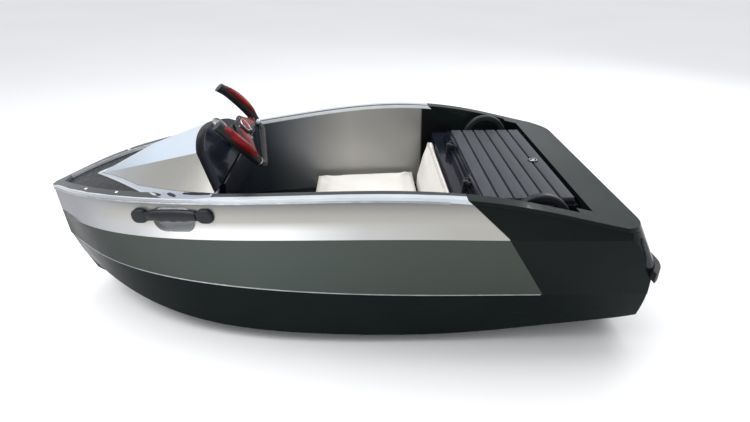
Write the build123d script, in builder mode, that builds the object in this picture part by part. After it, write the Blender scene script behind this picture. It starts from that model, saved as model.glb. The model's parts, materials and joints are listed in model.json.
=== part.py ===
"""Small electric jet boat: decked bow, open cockpit, slatted hatch over the drive."""
import os
from collections import namedtuple
from math import cos, hypot, radians, sin

from build123d import *

os.makedirs("parts", exist_ok=True)

# Frame: X forward, Y to port, Z up, standing on the flat keel pad at Z = 0. Sizes in millimetres.
REACH = 1500  # how far cutting blocks run past the boat
SEAM = 0.4    # gap between laid-on panels
PIN_GAP = 0.3

# Stern: transom, its sloping upper face, the round corners and the rubber bumper
TRANSOM_X = -1085
QUARTER_X = TRANSOM_X + 235
SHOULDER_X = TRANSOM_X + 465
STERN_HALF = 562
STERN_RADIUS = 110
SLOPE_Z = 368
SLOPE_LEAN = 0.526
BUMPER_OUT = 18
BUMPER_Z = (330, 366)
BUMPER_WRAP = 31

# Hull skin
RAIL_Z = 255
RAIL_STEP = 6
RIM = 45
WALL_LOW = 42
WALL_SILL = 15
CAP_H = 14
CAP_OUT = 5
CAP_SEAM = 0.8

# Hull lines at each station, from the transom to the stem
Station = namedtuple("Station", "x_sheer x_rail x_foot sheer_b sheer_z knuckle_b knuckle_z"
                                " rail_b chine_b chine_z keel_z")
HULL = [
    Station(TRANSOM_X, TRANSOM_X, TRANSOM_X, STERN_HALF - 14, 500, STERN_HALF - 12, 488,
            STERN_HALF - 57, STERN_HALF - 112, 128, -70),
    Station(QUARTER_X, QUARTER_X, QUARTER_X, STERN_HALF - 14, 538, STERN_HALF - 7, 492,
            STERN_HALF - 60, STERN_HALF - 116, 95, -61),
    Station(SHOULDER_X, SHOULDER_X, SHOULDER_X, STERN_HALF - 17, 591, STERN_HALF - 6, 497,
            STERN_HALF - 65, STERN_HALF - 121, 66, -52),
    Station(-200, -200, -200, 526, 625, 541, 499, 486, 434, 42, -42),
    Station(250, 250, 250, 457, 590, 471, 464, 437, 403, 50, -38),
    Station(600, 600, 600, 364, 556, 373, 428, 345, 315, 78, -24),
    Station(850, 846, 836, 245, 525, 249, 400, 218, 190, 128, 2),
    Station(1000, 990, 955, 118, 491, 117, 371, 98, 82, 158, 42),
    Station(1100, 1085, 1018, 12, 460, 12, 342, 10, 9, 176, 82),
]
NOSE_BLEND = 0.45

# Drive bay and cockpit, measured forward from the transom
BULKHEAD_T = 40
DRIVE_LENGTH = 640
COCKPIT_AFT = TRANSOM_X + DRIVE_LENGTH
BAY_FRONT = COCKPIT_AFT - BULKHEAD_T
STERN_BLOCK = 295
BAY_AFT = TRANSOM_X + STERN_BLOCK
BAY_HALF = 345
BAY_FLOOR = 120
WELL_FLOOR = 150
WELL_PLAN = [(790, 120), (600, 235), (250, 335), (COCKPIT_AFT, 372)]
MAT_T = 6
MAT_GAP = 2
MAT_FRONT = 780

# The silver bow and the black stern meet on a slanted line with a knee at the knuckle
SPLIT = [(COCKPIT_AFT + 111, 720), (COCKPIT_AFT - 117, 504), (COCKPIT_AFT - 271, 255)]

# Foredeck, console and dash
DECK_T = 12
DECK_TUCK = 10
DECK_SIDE_GAP = 1.2
DECK_AFT_X = 375
COWL_TIP_X = 916
COWL_WING = (575, 342)
COWL_LOW = (380, 345, 577)
COWL_CREASE = (466, 200, 664)
COWL_CROWN = 42
COWL_MID_X = 690
COWL_MID_FOOT = (208, 545)
COWL_MID_CREASE = (104, 588)
COWL_MID_CROWN = 40
COWL_SINK = 30
DASH_INSET = 18
DASH_T = 28
KNEE_X = (352, 374)
KNEE_HALF = 300
KNEE_FOOT = 480
GAUGE_AT = (60, 118)
GAUGE_R = 30
GAUGE_T = 9

# Seat
SEAT_FRONT = 115
SEAT_AFT = COCKPIT_AFT + 71
SEAT_GAP = 14
SEAT_BASE_TOP = 256
SEAT_BASE_INSET = 22
CUSHION_T = 96
CUSHION_EDGE = 24
BACK_TOP = 518
BACK_INSET = 45
BACK_THIN = 28
BACK_EDGE = 9

# Hatch deck, coaming, lid and stern handles
HATCH_DECK_Z = 495
HATCH_DECK_T = 12
RECESS_AFT = TRANSOM_X + 240
RECESS_HALF = BAY_HALF + 125
COAMING_TOP = 530
COAMING_FRONT = BAY_FRONT - 5
COAMING_AFT = RECESS_AFT + 7
COAMING_LIP = 33
HOLE_FRONT = COAMING_FRONT - 22
HOLE_AFT = BAY_AFT + 5
LID_FRONT = COAMING_FRONT - 12
LID_AFT = COAMING_AFT + 10
LID_HALF = BAY_HALF + 21
LID_GAP = 1
LID_T = 10
LID_STRIP = 14
SLAT_T = 14
SLAT_BED = 3
SLAT_COUNT = 6
GROOVE = 8
HINGE_X = LID_FRONT + 8
HINGE_Z = 543
HINGE_Y = 200
HINGE_PIN_R = 4
HINGE_BARREL_R = 6
HINGE_HALF = 9
KNUCKLE_OUT = 21
KNUCKLE_HALF = 7
KNUCKLE_R = 8
LATCH_AT = (LID_AFT + 46, 24)
LATCH_R = 20
LATCH_T = 4
HANDLE_Y = BAY_HALF + 93
HANDLE_FRONT = BAY_FRONT - 105
HANDLE_LENGTH = 200
HANDLE_TOP = 602
HANDLE_BAR = 26
HANDLE_HALF = 14
HANDLE_EDGE = 7

# Bow handles, lying along the flank below the sheer
BOW_GRIP_AT = (512, 392, 519)
BOW_GRIP_YAW = 15.2
BOW_GRIP_PITCH = 6.4
BOW_GRIP_HALF = 152
BOW_PAD = (58, 24)
BOW_PAD_R = 21
BOW_EDGE = 6
BOW_BAR_HALF = 15
BOW_GRIP_IN = 8
BOW_GRIP_OUT = 16
SCOOP_R = 46
SCOOP_AT = (-12, 16)
SCOOP_HALF = 38

# Steering wheel and its boss
WHEEL_AT = (340, 0, 694)
WHEEL_LEAN = 38
WHEEL_TURN = 16
WHEEL_HALF = 150
WHEEL_UP = 108
RIM_R = 12
RIM_BEND = 32
RIM_CAP = 4
GRIP_R = 17
GRIP_LOW = -30
GRIP_HIGH = 92
HUB_R = 34
HUB_BACK = 14
HUB_DEPTH = 30
HUB_BORE = 24
SPOKE_T = 14
SPOKE_OUTER = (-76, -44)
SPOKE_INNER = (-58, 34)
SPOKE_WAIST = (40, 46)
BOSS_R = 30
BOSS_LENGTH = 120
BOSS_GAP = 8
PIN_R = 8
PIN_LENGTH = 28

# Jet unit on the centre line, measured forward from the transom
JET_Z = 180
JET_FRONT = TRANSOM_X + 205
JET_WELL_DEPTH = 100
JET_WELL_X = TRANSOM_X + JET_WELL_DEPTH
JET_WELL_HALF = 130
JET_WELL_Z = (40, 330)
DUCT_R = 58
HOUSING_R = 66
FLANGE_R = 92
FLANGE_T = 10
DUCT_LIP = 5
ROTOR_R = 52
ROTOR_HUB_R = 21
ROTOR_FRONT = JET_FRONT - 20
ROTOR_LENGTH = 52
BLADE_T = 4
BLADE_LENGTH = 44
BLADE_PITCH = 35
BLADE_COUNT = 4
SHAFT_R = 11
SHAFT_STEP = 1
SHAFT_END_R = 8
STATOR_X = JET_WELL_X + 23
STATOR_HUB_R = 18
STATOR_T = 5
STATOR_COUNT = 3
TUNNEL_GAP = 6
INTAKE = [(BAY_AFT + 150, -10), (BAY_AFT - 60, -10), (JET_FRONT, 118), (JET_FRONT, 242),
          (JET_FRONT + 30, 242), (JET_FRONT + 65, 105)]
INTAKE_HALF = 58
GRATE_BARS = 5
GRATE_PITCH = 22
GRATE_BAR_HALF = 4
GRATE_Z = (3, 13)
GRATE_TIE_HALF = 6
NOZZLE_FRONT = TRANSOM_X + 63
NOZZLE_END = TRANSOM_X - 11
NOZZLE_R = (51, 40)
NOZZLE_WALL = 6
NOZZLE_PIVOT = TRANSOM_X + 55
NOZZLE_RATIO = 25 / 160
EAR_Z = (60, 70)
EAR_HALF = 13
EAR_NOSE = 12
EAR_PIN_R = 5
EAR_PIN_REACH = 4

# Battery, motor and drain plug
BATTERY_GAP = 17
BATTERY = (150, BAY_HALF - 45, 220)
MOTOR_R = 58
MOTOR_X = (BAY_AFT + 118, BAY_AFT + 6)
MOTOR_FOOT = (12, 70)
COUPLING = 10
DRAIN_AT = (-225, 80)
DRAIN_R = 15
DRAIN_OUT = 9


def save(piece, name):
    piece.part.label = name
    export_step(piece.part, f"parts/{name}.step")


def blend(a, b, t):
    return Station(*[p + (q - p) * t for p, q in zip(a, b)])


def between(x):
    """Hull lines at any place, on straight runs between the stations."""
    for aft, fore in zip(HULL, HULL[1:]):
        if aft.x_sheer <= x <= fore.x_sheer:
            return blend(aft, fore, (x - aft.x_sheer) / (fore.x_sheer - aft.x_sheer))


def section(low, high, points):
    """Mirrored outline on the plane across the boat through two centre-line points (x, z), from
    half points (breadth, height) top to bottom."""
    length = hypot(high[0] - low[0], high[1] - low[1])
    lean = (high[0] - low[0]) / length
    up = (high[1] - low[1]) / length
    plane = Plane(origin=(low[0], 0, low[1]), x_dir=(0, 1, 0), z_dir=(up, 0, -lean))
    half = [(b, (z - low[1]) / up) for b, z in points]
    with BuildSketch(plane) as outline:
        Polygon(*half, *[(-b, v) for b, v in reversed(half) if b > 0], align=None)
    return outline.sketch


def upper_section(row, points):
    return section((row.x_rail, RAIL_Z), (row.x_sheer, row.sheer_z), points)


def lower_section(row, points):
    return section((row.x_foot, row.keel_z), (row.x_rail, RAIL_Z), points)


def side_block(points, half, mode=Mode.ADD):
    """Block with a side view of straight lines (x, z), centred across the boat."""
    with BuildSketch(Plane.XZ) as view:
        Polygon(*points, align=None)
    extrude(view.sketch, amount=half, both=True, mode=mode)


def plan_block(points, z_low, z_high, mode=Mode.ADD):
    """Block with a mirrored plan of straight lines, from half points (x, breadth) bow to stern."""
    other = [(x, -b) for x, b in reversed(points) if b > 0]
    with BuildSketch(Plane.XY.offset(z_low)) as view:
        Polygon(*points, *other, align=None)
    extrude(view.sketch, amount=z_high - z_low, mode=mode)


def box(x, y, z, mode=Mode.ADD):
    """Box between pairs of limits."""
    with Locations(((x[0] + x[1]) / 2, (y[0] + y[1]) / 2, (z[0] + z[1]) / 2)):
        Box(abs(x[1] - x[0]), abs(y[1] - y[0]), abs(z[1] - z[0]), mode=mode)


def keep_x(x):
    """Keep only what lies between two stations."""
    box(x, (-REACH, REACH), (-REACH, REACH), mode=Mode.INTERSECT)


def rod_x(x, y, z, radius, mode=Mode.ADD):
    """Cylinder along X between two stations."""
    with Locations(Plane(origin=((x[0] + x[1]) / 2, y, z), x_dir=(0, 1, 0), z_dir=(1, 0, 0))):
        Cylinder(radius, abs(x[1] - x[0]), mode=mode)


def rod_y(x, y, z, radius, mode=Mode.ADD):
    """Cylinder along Y between two breadths."""
    with Locations(Plane(origin=(x, (y[0] + y[1]) / 2, z), x_dir=(1, 0, 0), z_dir=(0, 1, 0))):
        Cylinder(radius, abs(y[1] - y[0]), mode=mode)


def rod_z(x, y, z, radius, mode=Mode.ADD):
    """Upright cylinder between two heights."""
    with Locations((x, y, (z[0] + z[1]) / 2)):
        Cylinder(radius, abs(z[1] - z[0]), mode=mode)


def inner_wall(row, z):
    """Half breadth of the cockpit wall on a station at one height."""
    low = row.rail_b - WALL_LOW
    high = row.sheer_b - RIM
    return low + (high - low) * (z - RAIL_Z) / (row.sheer_z - RAIL_Z)


def stern_outline(z, grow):
    """Plan of the boat with round stern corners, open forward."""
    with BuildSketch(Plane.XY.offset(z)) as plan:
        with Locations(((TRANSOM_X - grow + REACH) / 2, 0)):
            Rectangle(REACH - TRANSOM_X + grow, 2 * (STERN_HALF + grow))
        fillet(plan.vertices().group_by(Axis.X)[0], STERN_RADIUS + grow)
    return plan.sketch


def deck_loft(tuck, z_low, z_high):
    """Deck strip between the rims; heights measured from the sheer."""
    cuts = []
    for row in HULL[-5:-1] + [blend(HULL[-2], HULL[-1], NOSE_BLEND)]:
        half = row.sheer_b - RIM + tuck
        cuts.append(upper_section(row, [(half, row.sheer_z + z_high), (half, row.sheer_z + z_low)]))
    loft(sections=cuts)
    keep_x((DECK_AFT_X, REACH))


def split_aft(mode):
    """Everything aft of the line where the silver bow meets the black stern."""
    foot = SPLIT[-1][0] - 1
    side_block([*SPLIT, (foot, -REACH), (-REACH, -REACH), (-REACH, SPLIT[0][1])], REACH, mode=mode)


# Shapes that trim several pieces
with BuildPart() as stern_round:
    extrude(stern_outline(-SLOPE_Z, 0), amount=2 * SLOPE_Z)
    extrude(stern_outline(SLOPE_Z, 0), amount=REACH / 3, dir=(SLOPE_LEAN, 0, 1))

wall_top = HATCH_DECK_Z + 225
with BuildPart() as tub:
    loft(sections=[upper_section(row, [(inner_wall(row, z), z) for z in (wall_top, RAIL_Z - WALL_SILL)])
                   for row in HULL[:-2]])
    keep_x((BAY_AFT, 900))

with BuildPart() as recess:
    box((RECESS_AFT, BAY_AFT + BULKHEAD_T), (-RECESS_HALF, RECESS_HALF), (HATCH_DECK_Z, wall_top))

with BuildPart() as jet_well:
    box((TRANSOM_X - BUMPER_OUT - BULKHEAD_T, JET_WELL_X), (-JET_WELL_HALF, JET_WELL_HALF), JET_WELL_Z)

with BuildPart() as deck_pocket:
    deck_loft(DECK_TUCK, -DECK_T, CAP_H * 4)

# Hull: vee bottom with flat keel pad, cockpit well, drive bay and jet tunnel
with BuildPart() as hull_bottom:
    loft(sections=[lower_section(row, [(row.rail_b - min(RAIL_STEP, row.rail_b / 3), RAIL_Z),
                                       (row.chine_b, row.chine_z), (0, row.keel_z)]) for row in HULL])
    box((-REACH, REACH), (-REACH, REACH), (0, RAIL_Z + REACH), mode=Mode.INTERSECT)
    add(stern_round.part, mode=Mode.INTERSECT)
    plan_block(WELL_PLAN, WELL_FLOOR, RAIL_Z + 1, mode=Mode.SUBTRACT)
    box((BAY_AFT, BAY_FRONT), (-BAY_HALF, BAY_HALF), (BAY_FLOOR, RAIL_Z + 1), mode=Mode.SUBTRACT)
    add(jet_well.part, mode=Mode.SUBTRACT)
    rod_x((JET_WELL_X - DUCT_LIP, JET_FRONT), 0, JET_Z, HOUSING_R + PIN_GAP, mode=Mode.SUBTRACT)
    side_block(INTAKE, INTAKE_HALF, mode=Mode.SUBTRACT)
    rod_x((BAY_AFT + 1, JET_FRONT), 0, JET_Z, SHAFT_R + TUNNEL_GAP, mode=Mode.SUBTRACT)
save(hull_bottom, "hull_bottom")

with BuildPart() as upper:
    loft(sections=[upper_section(row, [(row.sheer_b, row.sheer_z), (row.knuckle_b, row.knuckle_z),
                                       (row.rail_b, RAIL_Z)]) for row in HULL])
    add(stern_round.part, mode=Mode.INTERSECT)
    add(tub.part, mode=Mode.SUBTRACT)
    add(recess.part, mode=Mode.SUBTRACT)

# Finger scoop and seat of the bow handles, drawn on the port flank
yaw = radians(BOW_GRIP_YAW)
pitch = radians(BOW_GRIP_PITCH)
grip_plane = Plane(origin=BOW_GRIP_AT, x_dir=(-cos(yaw) * cos(pitch), sin(yaw) * cos(pitch), sin(pitch)),
                   z_dir=(sin(yaw), cos(yaw), 0))


def grip_outline(grow):
    """Two end pads joined by a slimmer bar."""
    pad_mid = BOW_GRIP_HALF - BOW_PAD[0] / 2
    Rectangle(2 * pad_mid, 2 * (BOW_BAR_HALF + grow))
    with Locations((-pad_mid, 0), (pad_mid, 0)):
        RectangleRounded(BOW_PAD[0] + 2 * grow, 2 * (BOW_PAD[1] + grow), BOW_PAD_R)


with BuildPart() as grip_seat:
    with BuildSketch(grip_plane.offset(-BOW_GRIP_IN)):
        grip_outline(SEAM)
    extrude(amount=5 * BOW_GRIP_OUT)
    scoop = grip_plane.offset(SCOOP_AT[1])
    with Locations(Plane(origin=scoop.from_local_coords((0, SCOOP_AT[0], 0)),
                         x_dir=scoop.z_dir, z_dir=scoop.x_dir)):
        Cylinder(SCOOP_R, 2 * SCOOP_HALF)
    with Locations(*[scoop.from_local_coords((end, SCOOP_AT[0], 0)) for end in (-SCOOP_HALF, SCOOP_HALF)]):
        Sphere(SCOOP_R)

with BuildPart() as topsides:
    add(upper.part)
    split_aft(Mode.SUBTRACT)
    add(deck_pocket.part, mode=Mode.SUBTRACT)
    add(grip_seat.part, mode=Mode.SUBTRACT)
    add(mirror(grip_seat.part, about=Plane.XZ), mode=Mode.SUBTRACT)
save(topsides, "topsides")

with BuildPart() as stern_shell:
    add(upper.part)
    split_aft(Mode.INTERSECT)
    add(jet_well.part, mode=Mode.SUBTRACT)
save(stern_shell, "stern_shell")

# Gunwale cap along the sheer, silver forward and black aft where it covers the stern deck
with BuildPart() as cap:
    loft(sections=[upper_section(row, [(row.sheer_b + CAP_OUT, row.sheer_z + CAP_H),
                                       (row.sheer_b + CAP_OUT, row.sheer_z + CAP_SEAM)])
                   for row in HULL])
    add(tub.part, mode=Mode.SUBTRACT)
    add(recess.part, mode=Mode.SUBTRACT)
    add(stern_round.part, mode=Mode.INTERSECT)

with BuildPart() as deck_above:
    deck_loft(0, -DECK_T, CAP_H * 4)

with BuildPart() as gunwale_cap:
    add(cap.part)
    split_aft(Mode.SUBTRACT)
    add(deck_above.part, mode=Mode.SUBTRACT)
save(gunwale_cap, "gunwale_cap")

with BuildPart() as stern_deck:
    add(cap.part)
    split_aft(Mode.INTERSECT)
save(stern_deck, "stern_deck")

# Bow handles
with BuildPart() as bow_handle:
    with BuildSketch(grip_plane.offset(-BOW_GRIP_IN)):
        grip_outline(0)
    extrude(amount=BOW_GRIP_IN + BOW_GRIP_OUT)
    with BuildSketch(grip_plane.offset(-BOW_GRIP_IN)):
        Rectangle(2 * (BOW_GRIP_HALF - BOW_PAD[0]), 4 * BOW_PAD[1])
    extrude(amount=BOW_GRIP_IN, mode=Mode.SUBTRACT)
    outward = Axis(BOW_GRIP_AT, grip_plane.z_dir)
    fillet(bow_handle.faces().sort_by(outward)[-1].edges(), BOW_EDGE)
save(bow_handle, "bow_handle_port")

with BuildPart() as bow_handle_far:
    add(mirror(bow_handle.part, about=Plane.XZ))
save(bow_handle_far, "bow_handle_starboard")

# Foredeck panel and the console deck, parted on a vee
vee = [(COWL_TIP_X, 0), COWL_WING, (DECK_AFT_X - 75, STERN_HALF)]
with BuildPart() as foredeck:
    deck_loft(DECK_TUCK - DECK_SIDE_GAP, -DECK_T + SEAM, -SEAM)
    plan_block(vee, 0, REACH, mode=Mode.SUBTRACT)
save(foredeck, "foredeck")

with BuildPart() as console_deck:
    deck_loft(DECK_TUCK - DECK_SIDE_GAP, -DECK_T + SEAM, -SEAM)
    plan_block([(x - SEAM, b) for x, b in vee], 0, REACH, mode=Mode.INTERSECT)
save(console_deck, "console_deck")

# Console cowl: crowned top between two creases, growing aft from a point to the dash
low_x, low_b, low_z = COWL_LOW
crease_x, crease_b, crease_z = COWL_CREASE
dash_rise = hypot(crease_x - low_x, crease_z - low_z)
dash_lean = (crease_x - low_x) / dash_rise
dash_up = (crease_z - low_z) / dash_rise
dash_plane = Plane(origin=(low_x, 0, low_z), x_dir=(0, -1, 0), z_dir=(-dash_up, 0, dash_lean))
tip_z = between(COWL_TIP_X).sheer_z


def crowned(plane, foot, crease, crown):
    """Outline with straight flanks from foot to crease (breadth, height) and an arched top."""
    with BuildSketch(plane) as outline:
        with BuildLine():
            Polyline((-crease[0], crease[1]), (-foot[0], foot[1]), foot, crease)
            ThreePointArc(crease, (0, crease[1] + crown), (-crease[0], crease[1]))
        make_face()
    return outline.sketch.face()


def sunk(foot, crease):
    """Foot of a flank carried on below the deck in line with it."""
    slope = (foot[0] - crease[0]) / (crease[1] - foot[1])
    return foot[0] + slope * COWL_SINK, foot[1] - COWL_SINK


with BuildPart() as under_deck:
    loft(sections=[upper_section(row, [(STERN_HALF, row.sheer_z - SEAM / 2), (STERN_HALF, RAIL_Z)])
                   for row in HULL[-5:-1] + [blend(HULL[-2], HULL[-1], NOSE_BLEND)]])

dash_crease = (crease_b, dash_rise)
mid_plane = Plane(origin=(COWL_MID_X, 0, 0), x_dir=(0, -1, 0), z_dir=(-1, 0, 0))
with BuildPart() as console_cowl:
    loft(sections=[crowned(dash_plane, sunk((low_b, 0), dash_crease), dash_crease, COWL_CROWN),
                   crowned(mid_plane, sunk(COWL_MID_FOOT, COWL_MID_CREASE), COWL_MID_CREASE, COWL_MID_CROWN),
                   Vertex(COWL_TIP_X, 0, tip_z)], ruled=True)
    add(under_deck.part, mode=Mode.SUBTRACT)
save(console_cowl, "console_cowl")

with BuildPart() as dash_panel:
    inset_foot = (low_b - DASH_INSET, SEAM)
    inset_crease = (crease_b - DASH_INSET / 2, dash_rise - DASH_INSET)
    extrude(crowned(dash_plane, inset_foot, inset_crease, COWL_CROWN), amount=DASH_T)
    box(KNEE_X, (-KNEE_HALF, KNEE_HALF), (KNEE_FOOT, low_z + DASH_T / 2))
    add(console_cowl.part, mode=Mode.SUBTRACT)
save(dash_panel, "dash_panel")

with BuildPart() as gauge:
    with BuildSketch(dash_plane.offset(DASH_T)):
        with Locations(GAUGE_AT):
            Circle(GAUGE_R)
    extrude(amount=GAUGE_T)
save(gauge, "gauge")

# Steering wheel, drawn as the driver sees it and turned a little to port
lean = radians(WHEEL_LEAN)
turn = radians(WHEEL_TURN)
wheel_plane = Plane(origin=WHEEL_AT, x_dir=(sin(turn) * sin(lean), -cos(turn), sin(turn) * cos(lean)),
                    z_dir=(-cos(lean), 0, sin(lean)))

with BuildPart() as steering_boss:
    with BuildSketch(wheel_plane.offset(-BOSS_LENGTH)):
        Circle(BOSS_R)
    extrude(amount=BOSS_LENGTH - HUB_BACK - BOSS_GAP)
    with BuildSketch(wheel_plane.offset(-HUB_BACK - BOSS_GAP)):
        Circle(PIN_R)
    extrude(amount=PIN_LENGTH)
    add(dash_panel.part, mode=Mode.SUBTRACT)
    add(console_cowl.part, mode=Mode.SUBTRACT)
save(steering_boss, "steering_boss")


def grip_end(side, up):
    """Plane across one upright of the wheel at a height along it."""
    return Plane(origin=wheel_plane.from_local_coords((side * WHEEL_HALF, up, 0)), z_dir=wheel_plane.y_dir)


with BuildPart() as wheel_rim:
    with BuildLine(wheel_plane) as rim_path:
        FilletPolyline((-WHEEL_HALF, WHEEL_UP), (-WHEEL_HALF, -WHEEL_UP), (WHEEL_HALF, -WHEEL_UP),
                       (WHEEL_HALF, WHEEL_UP), radius=RIM_BEND)
    with BuildSketch(Plane(origin=rim_path.line @ 0, z_dir=rim_path.line % 0)):
        Circle(RIM_R)
    sweep()
    for side in (-1, 1):
        with BuildSketch(grip_end(side, GRIP_HIGH)):
            Circle(GRIP_R - 1)
        extrude(amount=WHEEL_UP - GRIP_HIGH + RIM_CAP)
save(wheel_rim, "wheel_rim")

with BuildPart() as wheel_grips:
    for side in (-1, 1):
        with BuildSketch(grip_end(side, GRIP_LOW)):
            Circle(GRIP_R)
            Circle(RIM_R + PIN_GAP, mode=Mode.SUBTRACT)
        extrude(amount=GRIP_HIGH - GRIP_LOW - SEAM)
for solid, side in zip(wheel_grips.part.solids().sort_by(Axis.Y), ("starboard", "port")):
    with BuildPart() as one_grip:
        add(solid)
    save(one_grip, f"wheel_grip_{side}")

spoke_end = WHEEL_HALF - RIM_R - SEAM
with BuildPart() as wheel_hub:
    with BuildSketch(wheel_plane.offset(-SPOKE_T / 2)):
        right = [(SPOKE_WAIST[0], SPOKE_INNER[0]), (spoke_end, SPOKE_OUTER[0]), (spoke_end, SPOKE_OUTER[1]),
                 (SPOKE_WAIST[1], SPOKE_INNER[1])]
        Polygon(*right, *[(-u, v) for u, v in reversed(right)], align=None)
    extrude(amount=SPOKE_T)
    with BuildSketch(wheel_plane.offset(-HUB_BACK)):
        Circle(HUB_R)
    extrude(amount=HUB_DEPTH)
    with BuildSketch(wheel_plane.offset(-HUB_BACK)):
        Circle(PIN_R + PIN_GAP)
    extrude(amount=HUB_BORE, mode=Mode.SUBTRACT)
save(wheel_hub, "wheel_hub")

# Cockpit: sole mat, seat and bulkhead
well_inside = [(x, b - MAT_GAP) for x, b in WELL_PLAN]
with BuildPart() as sole_mat:
    plan_block(well_inside, WELL_FLOOR, WELL_FLOOR + MAT_T)
    keep_x((SEAT_FRONT - SEAT_BASE_INSET + MAT_GAP, MAT_FRONT))
save(sole_mat, "sole_mat")

with BuildPart() as seat_base:
    plan_block(well_inside, WELL_FLOOR, SEAT_BASE_TOP)
    keep_x((COCKPIT_AFT + 1, SEAT_FRONT - SEAT_BASE_INSET))
save(seat_base, "seat_base")

seat_plan = [(x, inner_wall(between(x), SEAT_BASE_TOP) - SEAT_GAP) for x in (SEAT_FRONT, SEAT_AFT)]
seat_top = SEAT_BASE_TOP + CUSHION_T
with BuildPart() as seat_cushion:
    plan_block(seat_plan, SEAT_BASE_TOP, seat_top)
    fillet(seat_cushion.faces().sort_by(Axis.Z)[-1].edges(), CUSHION_EDGE)
save(seat_cushion, "seat_cushion")

with BuildPart() as back_cushion:
    side_block([(SEAT_AFT - 1, SEAT_BASE_TOP), (SEAT_AFT - 1, seat_top),
                (COCKPIT_AFT + BACK_THIN, BACK_TOP - BACK_EDGE), (COCKPIT_AFT + 1, BACK_TOP),
                (COCKPIT_AFT + 1, SEAT_BASE_TOP)], seat_plan[1][1] - BACK_INSET)
    fillet(back_cushion.edges().filter_by(Axis.X, reverse=True).group_by(Axis.Z)[-1], BACK_EDGE)
save(back_cushion, "back_cushion")

with BuildPart() as bulkhead:
    add(tub.part)
    box((BAY_FRONT, COCKPIT_AFT), (-REACH, REACH), (RAIL_Z, HATCH_DECK_Z), mode=Mode.INTERSECT)
save(bulkhead, "bulkhead")

# Hatch deck with its raised coaming
deck_z = (HATCH_DECK_Z, HATCH_DECK_Z + HATCH_DECK_T)
coaming_half = BAY_HALF + COAMING_LIP
with BuildPart() as hatch_deck:
    add(tub.part)
    box((BAY_AFT, COCKPIT_AFT), (-REACH, REACH), deck_z, mode=Mode.INTERSECT)
    box((RECESS_AFT, BAY_AFT + 1), (-RECESS_HALF, RECESS_HALF), deck_z)
    box((COAMING_AFT, COAMING_FRONT), (-coaming_half, coaming_half), (HATCH_DECK_Z, COAMING_TOP))
    box((HOLE_AFT, HOLE_FRONT), (-BAY_HALF, BAY_HALF), (HATCH_DECK_Z - 1, COAMING_TOP + 1),
        mode=Mode.SUBTRACT)
save(hatch_deck, "hatch_deck")

# Hatch lid, slats, hinges and latch
lid_z = COAMING_TOP + LID_GAP
slat_z = lid_z + LID_T
with BuildPart() as hatch_lid:
    box((LID_AFT, LID_FRONT), (-LID_HALF, LID_HALF), (lid_z, slat_z))
    for side in (-1, 1):
        for step in (-KNUCKLE_OUT, KNUCKLE_OUT):
            y = (side * HINGE_Y + step - KNUCKLE_HALF, side * HINGE_Y + step + KNUCKLE_HALF)
            box((LID_FRONT - KNUCKLE_R, HINGE_X), y, (HINGE_Z - KNUCKLE_R, HINGE_Z + KNUCKLE_R))
            rod_y(HINGE_X, y, HINGE_Z, KNUCKLE_R)
            rod_y(HINGE_X, y, HINGE_Z, HINGE_PIN_R + PIN_GAP, mode=Mode.SUBTRACT)
save(hatch_lid, "hatch_lid")

slat_front = LID_FRONT - LID_STRIP
pitch = (slat_front - LID_AFT) / SLAT_COUNT
with BuildPart() as hatch_slats:
    box((LID_AFT, slat_front), (-LID_HALF, LID_HALF), (slat_z, slat_z + SLAT_BED))
    for i in range(SLAT_COUNT):
        front = slat_front - i * pitch
        box((front - GROOVE / 2, front - pitch + GROOVE / 2), (-LID_HALF, LID_HALF),
            (slat_z, slat_z + SLAT_T))
save(hatch_slats, "hatch_slats")

leaf_x = (COAMING_FRONT + 2, COAMING_FRONT + 14)
pin_half = KNUCKLE_OUT + KNUCKLE_HALF
for name, side in (("port", 1), ("starboard", -1)):
    middle = side * HINGE_Y
    y = (middle - HINGE_HALF, middle + HINGE_HALF)
    with BuildPart() as hinge:
        box((HINGE_X, leaf_x[1]), y, (HINGE_Z - HINGE_BARREL_R, HINGE_Z + HINGE_BARREL_R))
        box(leaf_x, y, (deck_z[1], HINGE_Z))
        rod_y(HINGE_X, y, HINGE_Z, HINGE_BARREL_R)
        rod_y(HINGE_X, (middle - pin_half, middle + pin_half), HINGE_Z, HINGE_PIN_R)
    save(hinge, f"hatch_hinge_{name}")

with BuildPart() as hatch_latch:
    rod_z(LATCH_AT[0], LATCH_AT[1], (slat_z + SLAT_T, slat_z + SLAT_T + LATCH_T), LATCH_R)
save(hatch_latch, "hatch_latch")

# Arched stern handles
handle_aft = HANDLE_FRONT - HANDLE_LENGTH
handle_mid = HANDLE_FRONT - HANDLE_LENGTH / 2
for name, side in (("port", 1), ("starboard", -1)):
    with BuildPart() as stern_handle:
        with BuildSketch(Plane.XZ.offset(-side * HANDLE_Y)):
            with BuildLine():
                ThreePointArc((HANDLE_FRONT, deck_z[1]), (handle_mid, HANDLE_TOP), (handle_aft, deck_z[1]))
                Line((handle_aft, deck_z[1]), (handle_aft + HANDLE_BAR, deck_z[1]))
                ThreePointArc((handle_aft + HANDLE_BAR, deck_z[1]), (handle_mid, HANDLE_TOP - HANDLE_BAR),
                              (HANDLE_FRONT - HANDLE_BAR, deck_z[1]))
                Line((HANDLE_FRONT - HANDLE_BAR, deck_z[1]), (HANDLE_FRONT, deck_z[1]))
            make_face()
        extrude(amount=HANDLE_HALF, both=True)
        fillet(stern_handle.edges().filter_by(GeomType.CIRCLE), HANDLE_EDGE)
    save(stern_handle, f"stern_handle_{name}")

# Stern bumper round the foot of the sloping transom
with BuildPart() as stern_bumper:
    extrude(stern_outline(BUMPER_Z[0], BUMPER_OUT), amount=BUMPER_Z[1] - BUMPER_Z[0])
    keep_x((-REACH, TRANSOM_X + BUMPER_WRAP))
    add(upper.part, mode=Mode.SUBTRACT)
save(stern_bumper, "stern_bumper")

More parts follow.
